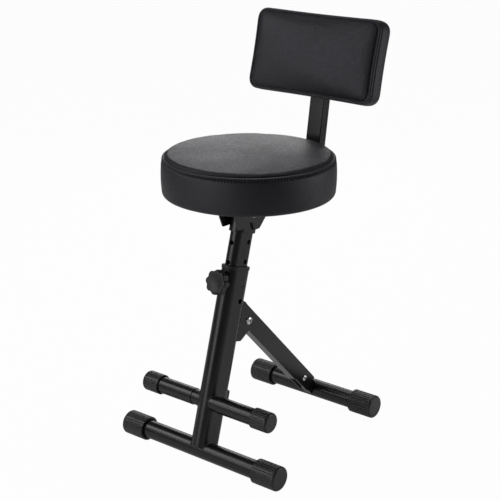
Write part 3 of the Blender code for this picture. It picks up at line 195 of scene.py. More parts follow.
# Seat cover: half section as radius and height above the underside
SEAT_PANEL_RADIUS = 0.1465
SEAT_PANEL_TOP = 0.0800
SEAT_PANEL_FALL = 0.0030
SEAT_PANEL_POWER = 4  # the higher, the flatter the middle
SEAT_PANEL_SHARES = (0.0, 0.12, 0.25, 0.38, 0.5, 0.6, 0.69, 0.77, 0.83, 0.88, 0.92, 0.95, 0.98, 1.0)
SEAT_SEAM = (
    (0.1474, 0.0768), (0.1483, 0.0764), (0.1497, 0.0754), (0.1512, 0.0741), (0.1527, 0.0727),
    (0.1537, 0.0716), (0.1536, 0.0709), (0.1524, 0.0707), (0.1524, 0.0702), (0.1542, 0.0701),
    (0.1563, 0.0699), (0.1577, 0.0693), (0.1585, 0.0684), (0.1586, 0.0676), (0.1581, 0.0669),
    (0.1573, 0.0664), (0.1567, 0.0660), (0.1567, 0.0654), (0.1578, 0.0646), (0.1589, 0.0634),
)
SEAT_SEWN = (6, 7, 8, 16, 17)  # rows of the seam and fold
SEAT_BAND = (
    (0.1596, 0.0605), (0.1601, 0.0550), (0.1605, 0.0470), (0.1607, 0.0390), (0.1607, 0.0310),
    (0.1605, 0.0240), (0.1602, 0.0180), (0.1598, 0.0130),
)
SEAT_BOTTOM_ROUND = 0.0072
SEAT_BOTTOM_START = -8  # degrees
SEAT_BOTTOM_STEPS = 5
SEAT_BOTTOM_EDGE = 0.1522
SEAT_BOTTOM = 0.0004
BOARD_RADIUS = 0.1483
BOARD_TOP = 0.0123
BOARD_SHARES = (1.0, 0.6, 0.25, 0.0)  # of its radius
SEAT_SEGMENTS = 176
SEAT_SUBDIVISIONS = 1
SECTION_DIGITS = 5  # that tell the section's points apart
SEAT_STITCHES = 176
SEAT_STITCH_RADIUS = 0.1584
SEAT_STITCH_HEIGHT = 0.0656

# Backrest pad's cover: sections from its back to its front panel, as growth from the seam's outline and
# place behind the tube's axis
PAD_WIDTH = 0.277
PAD_HEIGHT = 0.1485
PAD_CORNER = 0.016
PAD_LEAST_CORNER = 0.005
PAD_DRAW = 0.0012  # how far the sides pull in between the corners
PAD_SECTIONS = (
    (-0.0120, -0.0206), (-0.0120, -0.0113), (-0.0060, -0.0113), (-0.0012, -0.0114), (0.0022, -0.0121),
    (0.0040, -0.0141), (0.0048, -0.0185), (0.0051, -0.0240), (0.0051, -0.0300), (0.0047, -0.0350),
    (0.0041, -0.0385), (0.0032, -0.0400), (0.0018, -0.0406), (0.0018, -0.0412), (0.0030, -0.0418),
    (0.0041, -0.0432), (0.0043, -0.0452), (0.0038, -0.0470), (0.0026, -0.0481), (0.0010, -0.0484),
    (-0.0004, -0.0478), (-0.0012, -0.0466), (-0.0026, -0.0464), (-0.0032, -0.0474), (-0.0035, -0.0488),
    (-0.0043, -0.0501), (-0.0060, -0.0511), (-0.0085, -0.0520), (-0.0120, -0.0528),
)
PAD_SEWN = (0, 1, 2, 3, 12, 13, 21, 22)  # or glued sections
PAD_MIDDLE_CROWN = 0.0075
PAD_CROWN_POWER = 0.55
PAD_BACK = -0.0113
PAD_EASED = -0.0501  # the panel in front of this is smoothed
PAD_SUBDIVISIONS = 2
# Points along a long side, a short side and a corner
PAD_POINTS = (37, 13, 4)
PAD_STITCH_POINTS = (60, 30, 12)
PAD_STITCH_GROWTH = 0.0034
PAD_STITCH_DEPTH = -0.0404

# Stitches
STITCH_PITCH = 0.0057
STITCH_LENGTH = 0.0036
STITCH_THICK = 0.0011
STITCH_SEGMENTS = 8
STITCH_RINGS = 5
PUCKER_DEPTH = 0.0017
PUCKER_POWER = 1.5  # the higher, the narrower the needle holes
PUCKER_REACH = 0.0026
PUCKER_HEIGHT = 0.0646
PUCKER_STRIP = (0.0575, 0.06695)  # clear of the rings' middles
PUCKER_CUTS = 2

# Cushion filling
CLOTH_FRAMES = 20
CLOTH_QUALITY = 6
SEAT_PRESSURE = 1.5
PAD_PRESSURE = 2.0
CLOTH_STRETCH = 40.0
CLOTH_BEND = 30.0
SWELL_LIMIT = 0.004
PANEL_SMOOTHING = 14
SMOOTHING_SHARE = 0.5
SOFT_WAVE = 0.00022
SOFT_WAVES_PER_METRE = 28.0

# Plates, bolts and welds
PLATE_EDGE = 0.0005
BOLT_STEPS = 40
BOLT_EDGE = PLATE_EDGE / 3
# Bolts across the stool: width and height of the head, width of the shank
BOLTS = {
    "hinge_bolt": (0.016, 0.0045, 0.008),
    "strut_bolt": (0.0125, 0.0036, 0.006),
    "socket_bolt": (0.014, 0.0045, 0.008),
    "arm_bolt_front": (0.0125, 0.0036, 0.006),
    "arm_bolt_rear": (0.0125, 0.0036, 0.006),
}
SCREW = (0.012, 0.0035, 0.006)  # the same three of every screw into a board
PAD_SCREW_LENGTH = 0.0316
PAD_SCREWS = {"lower": -0.025, "upper": 0.025}  # up the pad
HEAD_LAND = 1 / 6  # of the head's height
HEAD_DOME_STEPS = 10
HEX_RADIUS = 0.25  # of the head's width
HEX_MIDDLE = 0.85  # of the head's height
POINT_RADIUS = 0.42  # of the shank's width
POINT_BEVEL = 0.08
WELD_RADIUS = 0.0016
WELD_RESOLUTION = 2
WELD_PITCH = 0.0013
WELD_CREST = 1.1  # of the bead's radius
WELD_VALLEY = 0.8
BASE_WELD_REACH = radians(76)  # to each side of the saddle's top
STUB_WELD_STEPS = 72
BOSS_WELD_STEPS = 44
EAR_OUTER = 0.0129
EAR_WELD = (0.2185, 0.2750)  # up the leg
CHEEK_WELD_INSET = 0.012

# The camera that took the photograph, and its studio
VIEW_TURN = radians(39.042)
VIEW_RISE = radians(18.722)
VIEW_DISTANCE = 2.3841
VIEW_TARGET = (-0.0006, -0.0431, 0.3778)
LENS = 92.11
SENSOR = 36.0
FLOOR_SIZE = 12.0
FLOOR_SEEN = 0.975  # share of plain white in what the camera sees of the floor
FLOOR_MIRRORED = 0.22  # and in what shiny pieces see of it near the stool
FLOOR_NEAR = 0.4
FLOOR_FAR = 0.7
FLOOR_COLOUR = (0.86, 0.86, 0.86, 1.0)
FLOOR_ROUGHNESS = 0.9
WHITE = (1.0, 1.0, 1.0, 1.0)
STUDIO_STRENGTH = 0.105
LIGHT_AIM = (0.0, 0.0, 0.4)
SOFTBOX_DISTANCE = 2.3
SOFTBOX_WIDTH = 1.0
SOFTBOX_HEIGHT = 0.9
# Softboxes: turn from the camera and rise in degrees, power in watts
SOFTBOXES = {
    "back_softbox": (180.0, 14.0, 6.4),
    "top_softbox": (180.0, 60.0, 13.0),
    "left_softbox": (-90.0, 32.0, 9.4),
    "front_left_softbox": (-62.0, 17.0, 6.8),
    "low_front_softbox": (-42.0, 3.0, 5.4),
    "right_softbox": (88.0, 8.0, 10.0),
}

LEG_PLACE = Matrix.Translation(LEG_FOOT) @ Matrix.Rotation(-LEG_LEAN, 4, "X")
KNOB_PLACE = LEG_PLACE @ Matrix.Translation(KNOB_ON_LEG) @ Matrix.Rotation(pi / 2, 4, "X")
SEAT_PLACE = Matrix.Translation(SEAT_CENTRE)
PAD_PLACE = Matrix.Translation(PAD_CENTRE) @ Matrix.Rotation(-PAD_LEAN, 4, "X")


class Wire:
    """An output socket of a finish. Sums written on it add Math nodes."""

    def __init__(self, finish, socket):
        self.finish = finish
        self.socket = socket

    def sum(self, operation, other):
        return self.finish.add("ShaderNodeMath", {"operation": operation}, {0: self, 1: other})

    def __add__(self, other):
        return self.sum("ADD", other)

    def __mul__(self, other):
        return self.sum("MULTIPLY", other)

    __radd__ = __add__
    __rmul__ = __mul__


class Finish:
    """A finish of the stool as a node material, with the record's slot that it belongs to."""

    def __init__(self, name, slot=None):
        self.slot = slot
        self.material = bpy.data.materials.new(name)
        self.material.use_nodes = True
        self.tree = self.material.node_tree
        self.shader = self.tree.nodes["Principled BSDF"]

    def add(self, kind, settings=None, sockets=None, out=0):
        """Adds a node, with its settings set before the values or links of its sockets."""
        node = self.tree.nodes.new(kind)
        for name, value in (settings or {}).items():
            setattr(node, name, value)
        for key, value in (sockets or {}).items():
            self.feed(node.inputs[key], value)
        return Wire(self, node.outputs[out])

    def feed(self, socket, value):
        if isinstance(value, Wire):
            self.tree.links.new(value.socket, socket)
        else:
            socket.default_value = value

    def shade(self, **values):
        for name, value in values.items():
            self.feed(self.shader.inputs[name.replace("_", " ")], value)

    def place(self, stretch=UNSTRETCHED):
        """Object coordinates, stretched."""
        here = self.add("ShaderNodeTexCoord", out="Object")
        return self.add("ShaderNodeMapping", {}, {"Vector": here, "Scale": stretch})

    def noise(self, scale, detail=2.0, rough=0.5, stretch=UNSTRETCHED, out=0):
        sockets = {"Vector": self.place(stretch), "Scale": scale, "Detail": detail, "Roughness": rough}
        return self.add("ShaderNodeTexNoise", {}, sockets, out)

    def cells(self, where, scale):
        """Distance to the borders between cells."""
        settings = {"feature": "DISTANCE_TO_EDGE"}
        return self.add("ShaderNodeTexVoronoi", settings, {"Vector": where, "Scale": scale})

    def spread(self, value, low, high):
        """Stretches the middle of a noise to the range 0 to 1."""
        sockets = {"Value": value, "From Min": low, "From Max": high}
        return self.add("ShaderNodeMapRange", {"clamp": True}, sockets)

    def coat(self, tone, dark, pale, roughness, height, strength, distance=RELIEF_DEPTH, **others):
        """Colours the finish between dark and pale, and gives it its gloss and its relief."""
        tones = {"Factor": tone, 6: (*dark, 1.0), 7: (*pale, 1.0)}
        colour = self.add("ShaderNodeMix", {"data_type": "RGBA"}, tones, out=2)
        relief = {"Height": height, "Strength": strength, "Distance": distance}
        normal = self.add("ShaderNodeBump", {}, relief)
        self.shade(Base_Color=colour, Roughness=roughness, Normal=normal, **others)
        return self


def powder_coat():
    """Satin black powder coat: a fine orange peel, slightly uneven gloss."""
    finish = Finish("satin_black_powder_coat", "satin_black_steel")
    uneven = finish.spread(finish.noise(scale=11.0, detail=3.0), low=0.3, high=0.7)
    speck = finish.spread(finish.noise(scale=2600.0, detail=0.0), low=0.45, high=0.8)
    return finish.coat(
        uneven * 0.6 + speck * 0.4, dark=(0.0045, 0.0045, 0.0048), pale=(0.0092, 0.0092, 0.0096),
        roughness=uneven * 0.06 + 0.25, height=finish.noise(scale=1100.0, detail=1.0), strength=0.012,
    )


def moulded_rubber():
    """Rubber with a fine moulded skin and a trace of dust."""
    finish = Finish("ribbed_black_rubber", "black_rubber")
    dust = finish.spread(finish.noise(scale=60.0, detail=5.0, rough=0.65), low=0.42, high=0.75)
    return finish.coat(
        dust, dark=(0.017, 0.017, 0.017), pale=(0.034, 0.0335, 0.033),
        roughness=dust * 0.14 + 0.34, height=finish.noise(scale=1500.0, detail=3.0, rough=0.6), strength=0.08,
    )


def moulded_plastic():
    """Spark-eroded black plastic."""
    finish = Finish("moulded_black_plastic", "black_plastic")
    flow = finish.spread(finish.noise(scale=45.0), low=0.35, high=0.7)
    return finish.coat(
        flow, dark=(0.009, 0.009, 0.0095), pale=(0.016, 0.016, 0.0165),
        roughness=flow * 0.1 + 0.44, height=finish.noise(scale=1900.0, rough=0.6), strength=0.2,
    )


def zinc_plate():
    """Bright zinc plate, faintly clouded and scratched."""
    finish = Finish("bright_zinc_plate", "bright_zinc")
    cloud = finish.spread(finish.noise(scale=260.0, detail=4.0, rough=0.6), low=0.35, high=0.7)
    return finish.coat(
        cloud, dark=(0.70, 0.71, 0.73), pale=(0.86, 0.87, 0.88),
        roughness=cloud * 0.12 + 0.20, height=finish.noise(scale=1800.0, stretch=(1.0, 14.0, 1.0)),
        strength=0.06, distance=0.0002, Metallic=1.0,
    )


def grained_leather():
    """Black imitation leather: pebbled grain with creases between the pebbles, whose colour is painted darker
    there as painted shade, and a soft uneven sheen.
    """
    finish = Finish("grained_black_leather", "black_leather")
    warp = finish.noise(scale=420.0, out="Color")
    sway = finish.add("ShaderNodeVectorMath", {"operation": "SCALE"}, {0: warp, "Scale": 0.0011})
    bent = finish.add("ShaderNodeVectorMath", {"operation": "ADD"}, {0: finish.place(), 1: sway})
    crease = finish.spread(finish.cells(bent, scale=760.0), low=0.0, high=0.32)
    pores = finish.noise(scale=3400.0)
    sheen = finish.spread(finish.noise(scale=9.0, detail=4.0, rough=0.55), low=0.3, high=0.72)
    mottle = finish.spread(finish.noise(scale=230.0, detail=3.0, rough=0.6), low=0.35, high=0.68)
    lumps = finish.noise(scale=85.0, detail=3.0, rough=0.55)
    # The tone is painted darker in the creases between the pebbles: painted shade.
    return finish.coat(
        crease * 0.7 + sheen * 0.3, dark=(0.0052, 0.0052, 0.0058), pale=(0.0112, 0.0112, 0.0122),
        roughness=crease * -0.06 + 0.40 + sheen * 0.06 + mottle * 0.14,
        height=crease * 0.7 + pores * 0.2 + lumps * 1.8,
        strength=0.4, distance=0.00045, Specular_IOR_Level=0.57, Specular_Tint=(0.89, 0.885, 1.0, 1.0),
    )


def sewing_thread():
    """Waxed black thread with a twist."""
    finish = Finish("waxed_black_thread", "black_leather")
    twist = finish.noise(scale=2400.0)
    return finish.coat(
        twist, dark=(0.03, 0.03, 0.031), pale=(0.09, 0.09, 0.093),
        roughness=twist * 0.2 + 0.42, height=twist, strength=0.3,
    )


def stained_plywood():
    """Black-stained plywood with its grain along X."""
    finish = Finish("black_stained_plywood", "plywood")
    fibre = finish.noise(scale=3.0, detail=6.0, rough=0.65, stretch=(6.0, 160.0, 160.0))
    worn = finish.spread(fibre, low=0.35, high=0.72)
    return finish.coat(
        worn, dark=(0.014, 0.012, 0.010), pale=(0.055, 0.044, 0.034),
        roughness=worn * 0.16 + 0.62, height=fibre,
        strength=0.25, distance=0.0004,
    )


def put_down():
    """Leaves nothing selected, in object mode."""
    if bpy.context.mode != "OBJECT":
        bpy.ops.object.mode_set(mode="OBJECT")
    bpy.ops.object.select_all(action="DESELECT")


def pick_up(piece):
    put_down()
    piece.select_set(True)
    bpy.context.view_layer.objects.active = piece


def named(name):
    """The primitive just added, under its name and with its place in its mesh."""
    piece = bpy.context.object
    piece.name = name
    piece.data.name = name
    bpy.ops.object.transform_apply(location=True, rotation=True, scale=True)
    return piece


def linked(name, data):
    """A new object in the scene, with its mesh, curve, lamp or camera."""
    thing = bpy.data.objects.new(name, data)
    bpy.context.scene.collection.objects.link(thing)
    return thing


def cylinder(name, sides, radius, length, centre, turn=ALONG_Z):
    put_down()
    bpy.ops.mesh.primitive_cylinder_add(
        vertices=sides, radius=radius, depth=length, location=centre, rotation=turn
    )
    return named(name)


def open_with(piece, mode, vertices, edges, faces):
    """Opens the piece for editing in a select mode, with these parts of it selected."""
    bpy.context.tool_settings.mesh_select_mode = mode
    piece.data.vertices.foreach_set("select", vertices)
    piece.data.edges.foreach_set("select", edges)
    piece.data.polygons.foreach_set("select", faces)
    bpy.ops.object.mode_set(mode="EDIT")


def pick_faces(piece, wanted):
    """Opens the piece with only those faces selected whose centre and normal are wanted."""
    pick_up(piece)
    mesh = piece.data
    faces = [bool(wanted(face.center, face.normal)) for face in mesh.polygons]
    none = [False] * len(mesh.vertices), [False] * len(mesh.edges)
    open_with(piece, (False, False, True), *none, faces)


def pick_edges(piece, wanted):
    """Opens the piece with only those edges selected whose two ends are both wanted."""
    pick_up(piece)
    mesh = piece.data
    keep = [bool(wanted(vertex.co)) for vertex in mesh.vertices]
    edges = [all(keep[end] for end in edge.vertices) for edge in mesh.edges]
    open_with(piece, (False, True, False), keep, edges, [False] * len(mesh.polygons))


def close_up(piece):
    """Merges doubles and turns all faces outwards."""
    pick_up(piece)
    bpy.ops.object.mode_set(mode="EDIT")
    bpy.ops.mesh.select_all(action="SELECT")
    bpy.ops.mesh.remove_doubles(threshold=MERGE_DISTANCE)
    bpy.ops.mesh.normals_make_consistent(inside=False)
    put_down()


def modify(piece, kind, **settings):
    """Adds a modifier to the piece, sets it and applies it."""
    pick_up(piece)
    bpy.ops.object.modifier_add(type=kind)
    modifier = piece.modifiers[-1]
    for name, value in settings.items():
        setattr(modifier, name, value)
    bpy.ops.object.modifier_apply(modifier=modifier.name)


def soften(piece, width, segments=BROKEN_STEPS):
    """Breaks the piece's sharp edges with a small round."""
    limit = {"limit_method": "ANGLE", "angle_limit": SMOOTH_ANGLE}
    modify(piece, "BEVEL", width=width, segments=segments, **limit, harden_normals=True)


def cut_away(piece, tool):
    """Cuts the tool's shape out of the piece and puts the tool away."""
    modify(piece, "BOOLEAN", object=tool, operation="DIFFERENCE")
    bpy.data.objects.remove(tool, do_unlink=True)


def drill(piece, centre, turn, radius, length, sides=HOLE_SIDES):
    cut_away(piece, cylinder("drill", sides, radius, length, centre, turn))


def hollow(bar, wall, ends):
    """Leaves only a wall of the bar, open at the faces that are its ends."""
    pick_faces(bar, ends)
    bpy.ops.mesh.inset(thickness=wall)
    bpy.ops.mesh.bridge_edge_loops()
    put_down()


def extrude(move):
    """Draws the selected faces out by a move."""
    bpy.ops.mesh.extrude_region_move(TRANSFORM_OT_translate={"value": move})


def duplicate(piece, name, place):
    """A copy with its own mesh, moved to another place."""
    copy = linked(name, piece.data.copy())
    copy.data.name = name
    copy.data.transform(place)
    return copy


def body_of(node):
    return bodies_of(frame["nodes"][node])[0]


def fit(piece, finish, *nodes, body=None, place=None):
    """Puts a piece in its place, smooths it, gives it its finish and lets it ride with its nodes."""
    if place is not None:
        piece.data.transform(place)
    pick_up(piece)
    bpy.ops.object.shade_smooth_by_angle(angle=SMOOTH_ANGLE)
    modify(piece, "WEIGHTED_NORMAL", keep_sharp=True)
    piece.data.materials.clear()
    piece.data.materials.append(finish.material)
    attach(piece, body or body_of(nodes[0]))
    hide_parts(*nodes)
    put_down()


def turned(name, profile, steps, ring=False):
    """Turns (radius, height) points about Z. They start and end on the axis, or close into a ring."""
    mesh = bpy.data.meshes.new(name)
    points = [(radius, 0.0, height) for radius, height in profile]
    edges = [(start, start + 1) for start in range(len(points) - 1)]
    if ring:
        edges.append((len(points) - 1, 0))
    mesh.from_pydata(points, edges, [])
    piece = linked(name, mesh)
    pick_up(piece)
    bpy.ops.object.mode_set(mode="EDIT")
    bpy.ops.mesh.select_all(action="SELECT")
    bpy.ops.mesh.spin(steps=steps, angle=2 * pi, center=(0.0, 0.0, 0.0), axis=(0.0, 0.0, 1.0))
    put_down()
    close_up(piece)
    return piece


def put_in_order(mesh):
    """Sorts points and faces, which spin leaves in another order each run, for a filling that repeats."""
    points = [tuple(vertex.co) for vertex in mesh.vertices]
    order = sorted(range(len(points)), key=lambda number: points[number])
    rank = {old: new for new, old in enumerate(order)}
    faces = []
    for face in mesh.polygons:
        ring = [rank[corner] for corner in face.vertices]
        first = ring.index(min(ring))
        faces.append(ring[first:] + ring[:first])
    mesh.clear_geometry()
    mesh.from_pydata(sorted(points), [], sorted(faces))


def arc(centre, radius, start, end, steps):
    """Points of a flat arc, angles in degrees."""
    for step in range(steps + 1):
        angle = radians(start + (end - start) * step / steps)
        yield centre[0] + radius * cos(angle), centre[1] + radius * sin(angle)


def round_tube(name, node, wall, finish, edge=PLATE_EDGE):
    """A round tube across the stool in a node's place, with open ends."""
    low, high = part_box(node)
    tube = cylinder(name, TUBE_SIDES, (high.z - low.z) / 2, high.x - low.x, (low + high) / 2, ALONG_X)
    hollow(tube, wall, lambda centre, normal: abs(normal.x) > FACING)
    soften(tube, edge, ROUND_STEPS)
    fit(tube, finish, node)


def oval_tube(name, width, depth, wall, low, high):
    """A flat-oval tube up the leg, round at front and back, with open ends."""
    tube = cylinder(name, OVAL_SIDES, width / 2, high - low, (0.0, 0.0, (low + high) / 2))
    for vertex in tube.data.vertices:
        vertex.co.y += copysign((depth - width) / 2, vertex.co.y)
    hollow(tube, wall, lambda centre, normal: abs(normal.z) > FACING)
    return tube


def base_tubes(finish):
    for end in ("front", "rear"):
        round_tube(f"{end}_base", f"{end}_base_tube", BASE_WALL, finish)


def ribbed_cup(name, radius, length, bore, ribs, end_wall):
    """A ribbed rubber cup along X, its mouth at the origin and its closed end at +X."""
    sides = ribs * SIDES_PER_RIB
    groove_end = length - END_ROUND - RIB_GROOVE
    cup = cylinder(name, sides, radius, length, (length / 2, 0.0, 0.0), ALONG_X)
    pick_faces(cup, lambda centre, normal: True)
    bpy.ops.mesh.bisect(plane_co=(groove_end, 0.0, 0.0), plane_no=(1.0, 0.0, 0.0))
    put_down()

    def in_groove(centre, normal):
        if abs(normal.x) > FACING or centre.x > groove_end:
            return False
        turn = atan2(centre.z, centre.y) / (2 * pi) * sides
        return round(turn - 0.5) % SIDES_PER_RIB < SIDES_PER_RIB * GROOVE_SHARE

    pick_faces(cup, in_groove)
    bpy.ops.mesh.extrude_region_shrink_fatten(TRANSFORM_OT_shrink_fatten={"value": -RIB_GROOVE})
    put_down()
    pick_edges(cup, lambda point: point.x > length - RIB_ROUND)
    bpy.ops.mesh.bevel(offset=END_ROUND, segments=END_ROUND_STEPS, affect="EDGES")
    put_down()
    pick_faces(cup, lambda centre, normal: normal.x < -FACING and centre.x < RIB_ROUND)
    bpy.ops.mesh.inset(thickness=radius - RIB_GROOVE - bore)
    extrude((length - end_wall, 0.0, 0.0))
    put_down()
    close_up(cup)
    soften(cup, RIB_ROUND, segments=1)
    return cup


def feet(finish):
    """The four feet and the two footrest caps: one of each modelled, the others copied."""
    turned_round = Matrix.Rotation(pi, 4, "Z")
    kinds = (
        ("front_foot", "front_base_tube", FOOT_RIBS, FOOT_END),
        ("rear_foot", "rear_base_tube", FOOT_RIBS, FOOT_END),
        ("footrest_cap", "footrest_tube_right", CAP_RIBS, CAP_END),
    )
    for kind, tube, ribs, end_wall in kinds:
        low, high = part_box(f"{kind}_right")
        tube_low, tube_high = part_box(tube)
        axis = (tube_low + tube_high) / 2
        # The feet reach down to the floor
        radius = (high.z - low.z) / 2 if kind == "footrest_cap" else axis.z
        bore = (tube_high.z - tube_low.z) / 2 + BUSH_PLAY
        cup = ribbed_cup(kind, radius, high.x - low.x, bore, ribs, end_wall)
        places = {"right": Matrix.Translation((low.x, axis.y, axis.z))}
        places["left"] = Matrix.Translation((-low.x, axis.y, axis.z)) @ turned_round
        for side, place in places.items():
            fit(duplicate(cup, f"{kind}_{side}_ribbed", place), finish, f"{kind}_{side}")
        bpy.data.objects.remove(cup, do_unlink=True)


def base_on_leg():
    """The front base's axis in the leg's frame."""
    return LEG_PLACE.inverted() @ Vector((0.0, LEG_FOOT[1] + BASE_BEHIND_LEG, LEG_FOOT[2]))


def leg(finish):
    tube = oval_tube("leg", LEG_WIDTH, LEG_DEPTH, LEG_WALL, LEG_BOTTOM, LEG_TOP)
    drill(tube, base_on_leg(), ALONG_X, BASE_RADIUS + SADDLE_PLAY, THROUGH_LEG, TUBE_SIDES)
    drill(tube, PIN_HOLE, ALONG_X, PIN_HOLE_RADIUS, THROUGH_LEG)
    drill(tube, FOOTREST_ON_LEG, ALONG_X, STUB_RADIUS, THROUGH_LEG, TUBE_SIDES)
    drill(tube, KNOB_ON_LEG, ALONG_Y, KNOB_BORE_RADIUS, LEG_DEPTH / 2)
    drill(tube, SNAP_HOLE, ALONG_X, SNAP_HOLE_RADIUS, THROUGH_LEG)
    soften(tube, PLATE_EDGE)
    fit(tube, finish, "leg_tube", place=LEG_PLACE)


def seat_post(finish):
    post = oval_tube("height_post", POST_WIDTH, POST_DEPTH, POST_WALL, POST_BOTTOM, POST_TOP)
    for step in FRONT_HOLES:
        place = (0.0, -POST_DEPTH / 2, KNOB_ON_LEG[2] + step * HOLE_PITCH)
        drill(post, place, ALONG_Y, HOLE_RADIUS, POST_DEPTH / 2)
    for step in SIDE_HOLES:
        place = (0.0, PIN_HOLE[1], PIN_HOLE[2] + step * HOLE_PITCH)
        drill(post, place, ALONG_X, HOLE_RADIUS, 2 * POST_WIDTH)
    soften(post, PLATE_EDGE)
    fit(post, finish, "seat_post", place=LEG_PLACE)


def bush(finish):
    """The plastic collar on the leg's mouth, with its skirt inside the leg."""
    low = LEG_TOP + BUSH_PLAY
    width, depth = LEG_WIDTH + 2 * BUSH_LIP, LEG_DEPTH + 2 * BUSH_LIP
    wall = (width - POST_WIDTH) / 2 - BUSH_PLAY
    collar = oval_tube("bush_collar", width, depth, wall, low, low + BUSH_FLANGE)
    soften(collar, BUSH_ROUND, ROUND_STEPS)
    inset = 2 * (LEG_WALL + BUSH_PLAY)
    width, depth = LEG_WIDTH - inset, LEG_DEPTH - inset
    wall = (width - POST_WIDTH) / 2 - BUSH_PLAY
    skirt = oval_tube("bush_skirt", width, depth, wall, LEG_TOP - BUSH_SKIRT, low + BUSH_PLAY)
    pick_up(collar)
    skirt.select_set(True)
    bpy.ops.object.join()
    fit(collar, finish, "guide_bush", place=LEG_PLACE)


def knob_profile():
    """Half section of the knob, from its bore's end round its back, its rim and its dished face."""
    rim = KNOB_BACK + KNOB_HUB_HEIGHT
    profile = [(0.0, KNOB_BACK + KNOB_BORE_DEPTH), (KNOB_BORE_RADIUS, KNOB_BACK + KNOB_BORE_DEPTH)]
    profile += [(KNOB_BORE_RADIUS, KNOB_BACK), (KNOB_HUB_RADIUS, KNOB_BACK), (KNOB_HUB_RADIUS, rim)]
    profile += [(KNOB_RADIUS * share, rim) for share in KNOB_BACK_SHARES]
    back_centre = (KNOB_RADIUS - KNOB_BACK_ROUND, rim + KNOB_BACK_ROUND)
    profile += arc(back_centre, KNOB_BACK_ROUND, -90, 0, KNOB_BACK_STEPS)
    rim_centre = (KNOB_RADIUS - KNOB_RIM, KNOB_FRONT - KNOB_RIM)
    profile += arc(rim_centre, KNOB_RIM, 0, KNOB_RIM_SWEEP, KNOB_RIM_STEPS)
    for step in range(KNOB_DISH_STEPS + 1):
        share = 1 - step / KNOB_DISH_STEPS
        profile.append((KNOB_DISH_RADIUS * share, KNOB_FRONT - KNOB_DISH_DEPTH * (1 - share**2)))
    return profile


def knob(finish):
    """A lobed clamp knob with a dished face, its axis along Z."""
    handle = turned("clamp_knob", knob_profile(), KNOB_LOBES * KNOB_LOBE_SIDES)
    for vertex in handle.data.vertices:
        reach = vertex.co.xy.length
        grip = (reach - KNOB_HUB_RADIUS) / (KNOB_RADIUS - KNOB_HUB_RADIUS)
        if grip > 0:
            turn = atan2(vertex.co.y, vertex.co.x)
            dip = (0.5 - 0.5 * cos(KNOB_LOBES * turn)) ** KNOB_HOLLOW_POWER
            share = 1 - KNOB_LOBE_DEPTH * dip * grip**2 / reach
            vertex.co.x *= share
            vertex.co.y *= share
    fit(handle, finish, "height_knob", place=KNOB_PLACE)


def knob_boss(finish):
    profile = [(KNOB_BORE_RADIUS, -BOSS_DEPTH), (BOSS_RADIUS, -BOSS_DEPTH)]
    profile += [(BOSS_RADIUS, BOSS_HEIGHT), (KNOB_BORE_RADIUS, BOSS_HEIGHT)]
    boss = turned("stud_boss", profile, BOLT_STEPS, ring=True)
    soften(boss, PLATE_EDGE)
    fit(boss, finish, "knob_boss", place=KNOB_PLACE)


def seat_socket(finish):
    """The socket under the seat plate, cut level where it meets the plate."""
    socket = oval_tube("post_socket", SOCKET_WIDTH, SOCKET_DEPTH, SOCKET_WALL, SOCKET_BOTTOM, SOCKET_TOP)
    socket.data.transform(LEG_PLACE)
    put_down()
    above = (0.0, SEAT_CENTRE[1], PLATE_UNDERSIDE + SOCKET_DEPTH)
    bpy.ops.mesh.primitive_cube_add(size=2 * SOCKET_DEPTH, location=above)
    cut_away(socket, named("plate_level"))
    soften(socket, PLATE_EDGE)
    fit(socket, finish, "seat_socket")


def arm(finish):
    """The rectangular tube under the seat, bent up behind it and again behind the backrest."""
    put_down()
    start = (0.0, ARM_START, ARM_DROP)
    bpy.ops.mesh.primitive_plane_add(size=1.0, location=start, rotation=(-pi / 2, 0.0, 0.0))
    bpy.context.object.scale = (ARM_WIDTH, ARM_DEPTH, 1.0)
    tube = named("backrest_arm")
    pick_faces(tube, lambda centre, normal: True)
    bpy.ops.mesh.bevel(offset=ARM_CORNER, segments=ARM_CORNER_STEPS, affect="VERTICES")
    rise = pi / 2 - UPRIGHT_LEAN
    tuck = UPRIGHT_BEND_RADIUS * tan(rise / 2)
    run = UPRIGHT_AT - tuck - ARM_START
    extrude((0.0, run, 0.0))
    hub = (0.0, UPRIGHT_AT - tuck, ARM_DROP + UPRIGHT_BEND_RADIUS)
    bpy.ops.mesh.spin(steps=UPRIGHT_BEND_STEPS, angle=-rise, center=hub, axis=(1.0, 0.0, 0.0))
    up = Vector((0.0, sin(UPRIGHT_LEAN), cos(UPRIGHT_LEAN)))
    upper = PAD_LEAN - UPRIGHT_LEAN
    upper_tuck = UPPER_BEND_RADIUS * tan(upper / 2)
    straight = (UPPER_BEND_HEIGHT - ARM_DROP) / up.z - tuck - upper_tuck
    extrude(up * straight)
    corner = Vector((0.0, UPRIGHT_AT, ARM_DROP)) + up * (UPPER_BEND_HEIGHT - ARM_DROP) / up.z
    bend_start = corner - up * upper_tuck
    upper_hub = bend_start + Vector((0.0, up.z, -up.y)) * UPPER_BEND_RADIUS
    bpy.ops.mesh.spin(steps=UPPER_BEND_STEPS, angle=upper, center=upper_hub, axis=(1.0, 0.0, 0.0))
    way = Vector((0.0, sin(PAD_LEAN), cos(PAD_LEAN)))
    extrude(way * (UPPER_LENGTH - upper_tuck))
    put_down()
    close_up(tube)
    fit(tube, finish, "backrest_post", place=SEAT_PLACE)


def footrest(finish):
    for side in ("left", "right"):
        round_tube(f"footrest_sleeve_{side}", f"footrest_tube_{side}", FOOTREST_WALL, finish, SLEEVE_ROUND)
    round_tube("footrest_cross_stub", "footrest_stub", BASE_WALL, finish)


def edged(node, name, finish):
    """A copy of a flat or folded node with its edges broken."""
    copy = duplicate(frame["nodes"][node], name, Matrix())
    close_up(copy)
    pick_faces(copy, lambda centre, normal: True)
    bpy.ops.mesh.dissolve_limited(angle_limit=FLAT_ANGLE)
    put_down()
    soften(copy, PLATE_EDGE)
    fit(copy, finish, node)


